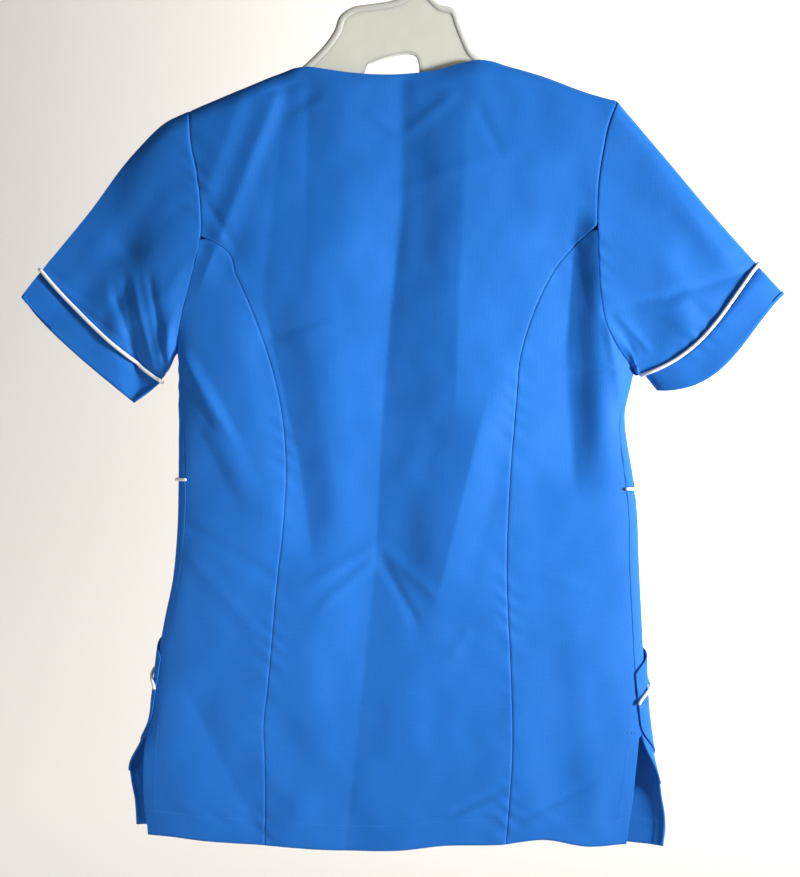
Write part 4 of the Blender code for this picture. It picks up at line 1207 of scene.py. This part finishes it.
def make_front(cloth, thread):
    """The front's four panels, with the hem and its stitches."""
    lines = []
    for side in (-1, 1):
        for level, zones in FRONT_LEVELS:
            steps = steps_of(*zones)
            grid, directions = panel_grid(
                lambda height: front_outer(side, height),
                lambda height: front_inner(side, height),
                1 - (1 - spaced(FRONT_COLUMNS)) ** FRONT_COLUMN_CROWDING,
                finer(steps if level == "upper" else [WAIST, *steps], ROWS_PER_LEVEL),
                True,
            )
            name = f"front_{level}_{name_of(side)}"
            if level == "upper":
                grid = sewn(grid, directions, ("first", "last", "bottom"))
                cloth_piece(name, grid, directions, cloth)
                continue
            grid = sewn(grid, directions, ("last", "top"), ("bottom",), HEMMED)
            faces = cloth_piece(name, grid, directions, cloth, turned=TURNED)
            lines += turned_lines(side, faces)
    stitching("front_hem_stitches", lines, thread)


def piping(name, places, diameter, material, closed=False):
    """A round piping along the places, which stands for the part's plain one."""
    vertices, faces = tube(places, diameter, closed)
    piece = mesh_piece(f"{name}_cord", vertices, faces, material, "piping_white")
    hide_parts(name)
    return piece


def make_sleeves(cloth, white):
    """Each sleeve, its cuff and the piping round the seam between them."""
    armhole_steps = finer(steps_of("roll", "yoke", "armhole"), RING_POINTS_PER_LEVEL)
    steps = np.concatenate([spaced(SLEEVE_ROWS), 1 + spaced(CUFF_ROWS)[1:]])
    last = SLEEVE_ROWS
    parts = (("sleeve", slice(0, last + 1), ("top", "bottom")), ("cuff", slice(last, None), ("top",)))
    for side in (-1, 1):
        grid, directions = sleeve_grid(side, steps, armhole_steps)
        for name, rows, seams in parts:
            out = directions[rows]
            shaped = sewn(grid[rows], out, seams)
            cloth_piece(f"{name}_{name_of(side)}", shaped, out, cloth, closed=True)
        lift = CUFF_PIPING_DIAMETER / 2 + CUFF_PIPING_STAND
        places = grid[last] + directions[last] * (lift - SEAM_DIP)
        piping(f"cuff_piping_{name_of(side)}", places, CUFF_PIPING_DIAMETER, white, True)


def make_waist_piping(white):
    """The piping in the front's waist seam, from each side seam to the middle."""
    for side in (-1, 1):
        end = side * (math.pi - WAIST_PIPING_END)
        grid, directions = panel_grid(
            lambda height: front_outer(side, height),
            lambda height: end,
            spaced(WAIST_PIPING_POINTS),
            [WAIST],
            True,
        )
        places = grid[0] + directions[0] * FLAT_PIPING_LIFT
        piping(f"waist_piping_{name_of(side)}", places, FLAT_PIPING_DIAMETER, white)


def make_pockets(cloth, white, thread):
    """Each patch pocket with its band, piping and stitches."""
    lines = []
    for side in (-1, 1):
        shares = spaced(POCKET_COLUMNS) ** POCKET_COLUMN_CROWDING
        name = name_of(side)
        band, band_normal = pocket_grid(side, shares, spaced(BAND_ROWS), False)
        pocket, normal = pocket_grid(side, shares, spaced(POCKET_ROWS), True)
        band = sewn(band, band_normal, ("bottom",))
        pocket_shaped = sewn(pocket, normal, ("top",), (), POCKET_STITCHED)
        cloth_piece(f"pocket_band_{name}", band, band_normal, cloth)
        outer, _inner = cloth_piece(f"pocket_{name}", pocket_shaped, normal, cloth)
        lines += [line_beside(outer, edge, inset) for edge, inset in POCKET_STITCHED]
        places = pocket[0] + normal[0] * FLAT_PIPING_LIFT
        piping(f"pocket_piping_{name}", places, FLAT_PIPING_DIAMETER, white)
    stitching("pocket_stitches", lines, thread)


def flat_plate(outline, holes):
    """The vertices and faces of an upright plate with rounded edges, from its outline and holes."""
    curve = bpy.data.curves.new("plate_outline", "CURVE")
    curve.dimensions = "2D"
    curve.fill_mode = "BOTH"
    curve.extrude = HANGER_WEB_THICKNESS / 2 - HANGER_EDGE_ROUNDING
    curve.bevel_depth = HANGER_EDGE_ROUNDING
    curve.bevel_resolution = 3
    curve.offset = -HANGER_EDGE_ROUNDING
    for places in (outline, *holes):
        spline = curve.splines.new("POLY")
        spline.points.add(len(places) - 1)
        for spot, (across, height) in zip(spline.points, places):
            spot.co = (across, height, 0.0, 1.0)
        spline.use_cyclic_u = True
    holder = bpy.data.objects.new("plate_outline", curve)
    bpy.context.scene.collection.objects.link(holder)
    bpy.context.view_layer.update()
    shaped = holder.evaluated_get(bpy.context.evaluated_depsgraph_get())
    mesh = bpy.data.meshes.new_from_object(shaped)
    vertices = np.array([(v.co.x, -v.co.z, v.co.y) for v in mesh.vertices])
    faces = [list(polygon.vertices) for polygon in mesh.polygons]
    bpy.data.objects.remove(holder)
    return vertices, faces


def joined(*solids):
    """The vertices and faces of several solids as one."""
    vertices, faces, start = [], [], 0
    for points, corners in solids:
        vertices.append(points)
        faces += [[start + corner for corner in face] for face in corners]
        start += len(points)
    return np.concatenate(vertices), faces


def make_hanger(plastic):
    """The moulded hanger: its web with a window, the rims along its edges, and the hook."""
    arm_left = np.linspace(-HANGER_REACH, HANGER_ARM_STARTS[0], HANGER_ARM_POINTS)
    arm_right = np.linspace(HANGER_ARM_STARTS[1], HANGER_REACH, HANGER_ARM_POINTS)
    left_top, right_top = (np.stack([arm, arm_height(arm)], axis=-1) for arm in (arm_left, arm_right))
    left_run = np.concatenate([left_top, smoothed(WEB_LEFT)])
    right_run = np.concatenate([smoothed(WEB_RIGHT), right_top])
    deeper = np.outer(np.linspace(HANGER_TIP_SHARE, 1, HANGER_ARM_POINTS), (0, HANGER_ARM_HEIGHT))
    bottom = smoothed(WEB_BOTTOM)
    lower = np.concatenate([right_top[::-1] - deeper, bottom, left_top[::-1] - deeper[::-1]])
    outline = np.concatenate([left_run[:-1], NECK_TOP, right_run[1:], lower])
    window = smoothed(WEB_WINDOW)[:-1]
    solids = [flat_plate(outline, [window])]
    for run in (left_run, right_run):
        vertices, faces = tube([(across, 0.0, height) for across, height in run], HANGER_RIM_DIAMETER)
        solids.append((vertices * (1, RIM_FLATNESS, 1), faces))
    ring = [(across, 0.0, height) for across, height in window]
    solids.append(tube(ring, WINDOW_RIM_DIAMETER, closed=True))
    body = mesh_piece("hanger_body_visual", *joined(*solids), plastic, "hanger_plastic")
    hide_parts("hanger_body")
    turns = np.radians(np.linspace(HOOK_START, HOOK_END, HOOK_POINTS))
    radius = HOOK_INNER_RADIUS + HOOK_DIAMETER / 2
    loop = [(radius * math.cos(a), 0.0, radius * math.sin(a) - HOOK_INNER_RADIUS) for a in turns]
    stem = [(HOOK_STEM_ACROSS, 0.0, height) for height in (HOOK_STEM_BOTTOM, HOOK_STEM_TOP)]
    solid = tube([*stem, *loop], HOOK_DIAMETER)
    hook = mesh_piece("hanger_hook_visual", *solid, plastic, "hanger_plastic")
    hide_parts("hanger_hook")


def new_material(name):
    """A node material, its Principled shader and a helper that adds and joins nodes."""
    material = bpy.data.materials.new(name)
    material.use_nodes = True
    tree = material.node_tree
    shader = tree.nodes["Principled BSDF"]

    def node(kind, inputs=None, **settings):
        made = tree.nodes.new(kind)
        for key, value in settings.items():
            setattr(made, key, value)
        for key, value in (inputs or {}).items():
            if isinstance(value, bpy.types.NodeSocket):
                tree.links.new(value, made.inputs[key])
            else:
                made.inputs[key].default_value = value
        return made

    return material, shader, node


def toned(material, shader, node, share, tones, ends=(0.0, 1.0)):
    """Colours the shader between two tones, as the share goes from one end to the other."""
    ramp = node("ShaderNodeValToRGB", {"Fac": share})
    for stop, end, tone in zip(ramp.color_ramp.elements, ends, tones):
        stop.position = end
        stop.color = (*tone, 1.0)
    material.node_tree.links.new(ramp.outputs["Color"], shader.inputs["Base Color"])


def embossed(material, shader, node, strength, distance, height):
    """Gives the shader's surface a fine relief."""
    bump = node("ShaderNodeBump", {"Strength": strength, "Distance": distance, "Height": height})
    material.node_tree.links.new(bump.outputs["Normal"], shader.inputs["Normal"])


def noise(node, place, scale, detail):
    """A cloudy value that varies from place to place."""
    inputs = {"Vector": place, "Scale": scale, "Detail": detail}
    return node("ShaderNodeTexNoise", inputs).outputs["Fac"]


def woven(name, colours, roughness, sheen, sheen_tint, relief):
    """A plain-woven cloth: threads both ways, faint slubs and a slow change of tone."""
    made = new_material(name)
    material, shader, node = made
    place = node("ShaderNodeTexCoord").outputs["Object"]
    threads = []
    for stretch in WEAVE_STRETCHES:
        mapped = node("ShaderNodeMapping", {"Vector": place, "Scale": stretch}).outputs["Vector"]
        threads.append(noise(node, mapped, 1.0, 2.0))
    weave = node("ShaderNodeMath", {0: threads[0], 1: threads[1]}, operation="ADD").outputs["Value"]
    slow = noise(node, place, 14.0, 3.0)
    mixed = node("ShaderNodeMath", {0: weave, 1: WEAVE_SHARE}, operation="MULTIPLY").outputs["Value"]
    summed = node("ShaderNodeMath", {0: slow, 1: SLOW_SHARE, 2: mixed}, operation="MULTIPLY_ADD")
    toned(*made, summed.outputs["Value"], colours, TONE_ENDS)
    embossed(*made, 0.6, relief, weave)
    shader.inputs["Roughness"].default_value = roughness
    shader.inputs["Sheen Weight"].default_value = sheen
    shader.inputs["Sheen Roughness"].default_value = 0.45
    shader.inputs["Sheen Tint"].default_value = (*sheen_tint, 1.0)
    shader.inputs["Specular IOR Level"].default_value = 0.22
    return material


def milky_plastic():
    """A milky moulded plastic with a faint unevenness in tone and gloss."""
    made = new_material("milky_plastic")
    material, shader, node = made
    place = node("ShaderNodeTexCoord").outputs["Object"]
    cloud = noise(node, place, 38.0, 3.0)
    toned(*made, cloud, HANGER_TONES)
    embossed(*made, 0.3, 0.00008, noise(node, place, 420.0, 2.0))
    gloss = node("ShaderNodeMapRange", {"Value": cloud, "To Min": 0.42, "To Max": 0.52})
    material.node_tree.links.new(gloss.outputs["Result"], shader.inputs["Roughness"])
    shader.inputs["Subsurface Weight"].default_value = 0.35
    shader.inputs["Subsurface Radius"].default_value = (0.006, 0.006, 0.005)
    shader.inputs["Subsurface Scale"].default_value = 1.0
    return material


def pale_stage():
    """A plain pale floor that sweeps up behind the tunic."""
    run = [(FLOOR_FRONT, FLOOR_HEIGHT), (SWEEP_STARTS, FLOOR_HEIGHT)]
    for turn in np.radians(SWEEP_TURNS):
        rise = SWEEP_RADIUS * (1 - math.cos(turn))
        run.append((SWEEP_STARTS + SWEEP_RADIUS * math.sin(turn), FLOOR_HEIGHT + rise))
    run.append((run[-1][0], SWEEP_TOP))
    edges = (-FLOOR_HALF_WIDTH, FLOOR_HALF_WIDTH)
    vertices = [(across, back, height) for back, height in run for across in edges]
    faces = [[2 * i, 2 * i + 1, 2 * i + 3, 2 * i + 2] for i in range(len(run) - 1)]
    mesh = bpy.data.meshes.new("pale_floor")
    mesh.from_pydata(vertices, [], faces)
    mesh.shade_smooth()
    floor = bpy.data.objects.new("pale_floor", mesh)
    bpy.context.scene.collection.objects.link(floor)
    made = new_material("pale_floor")
    material, shader, node = made
    place = node("ShaderNodeTexCoord").outputs["Object"]
    toned(*made, noise(node, place, 0.7, 1.0), FLOOR_TONES)
    shader.inputs["Roughness"].default_value = 0.9
    mesh.materials.append(material)


def aimed(name, place, target, size, strength, colour, shape="DISK", spread=math.pi):
    """A soft light at a place, turned to a target."""
    light = bpy.data.lights.new(name, "AREA")
    light.energy = strength
    light.color = colour
    light.shape = shape
    light.size = size
    light.spread = spread
    holder = bpy.data.objects.new(name, light)
    holder.location = place
    away = np.array(place, float) - np.array(target, float)
    holder.rotation_euler = (
        math.atan2(math.hypot(away[0], away[1]), away[2]),
        0.0,
        math.atan2(away[0], -away[1]),
    )
    bpy.context.scene.collection.objects.link(holder)


def make_light():
    """A main light from the right, a weak one from the lower left, one on the sweep, and a fill."""
    aimed("main_light", *KEY_LIGHT, KEY_COLOUR, spread=KEY_SPREAD)
    aimed("low_light", *LOW_LIGHT, LOW_COLOUR, spread=LOW_SPREAD)
    aimed("backdrop_light", *BACKDROP_LIGHT, BACKDROP_COLOUR, shape="SQUARE")
    world = bpy.data.worlds.new("pale_fill")
    world.use_nodes = True
    sky = world.node_tree.nodes["Background"]
    sky.inputs["Color"].default_value = (*FILL_COLOUR, 1.0)
    sky.inputs["Strength"].default_value = FILL_STRENGTH
    bpy.context.scene.world = world


def make_camera():
    """The photograph's view: level, from behind the tunic, with the hook cut off by the frame."""
    camera = bpy.data.cameras.new("camera")
    camera.sensor_width = SENSOR
    camera.lens = SENSOR * CAMERA_DISTANCE / FRAME_HEIGHT
    holder = bpy.data.objects.new("camera", camera)
    holder.location = (0.0, -CAMERA_DISTANCE, CAMERA_HEIGHT)
    holder.rotation_euler = (math.pi / 2, 0.0, 0.0)
    bpy.context.scene.collection.objects.link(holder)
    bpy.context.scene.camera = holder


def main():
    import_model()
    bpy.context.scene.view_settings.view_transform = "Standard"
    cloth = woven("blue_cloth", CLOTH_TONES, 0.68, 0.04, CLOTH_SHEEN, 0.00018)
    thread = woven("blue_thread", THREAD_TONES, 0.5, 0.1, THREAD_SHEEN, 0.00005)
    white = woven("white_piping", PIPING_TONES, 0.7, 0.1, PIPING_SHEEN, 0.00025)
    make_back(cloth, thread)
    make_front(cloth, thread)
    make_sleeves(cloth, white)
    make_waist_piping(white)
    make_pockets(cloth, white, thread)
    make_hanger(milky_plastic())
    pale_stage()
    make_light()
    make_camera()


main()
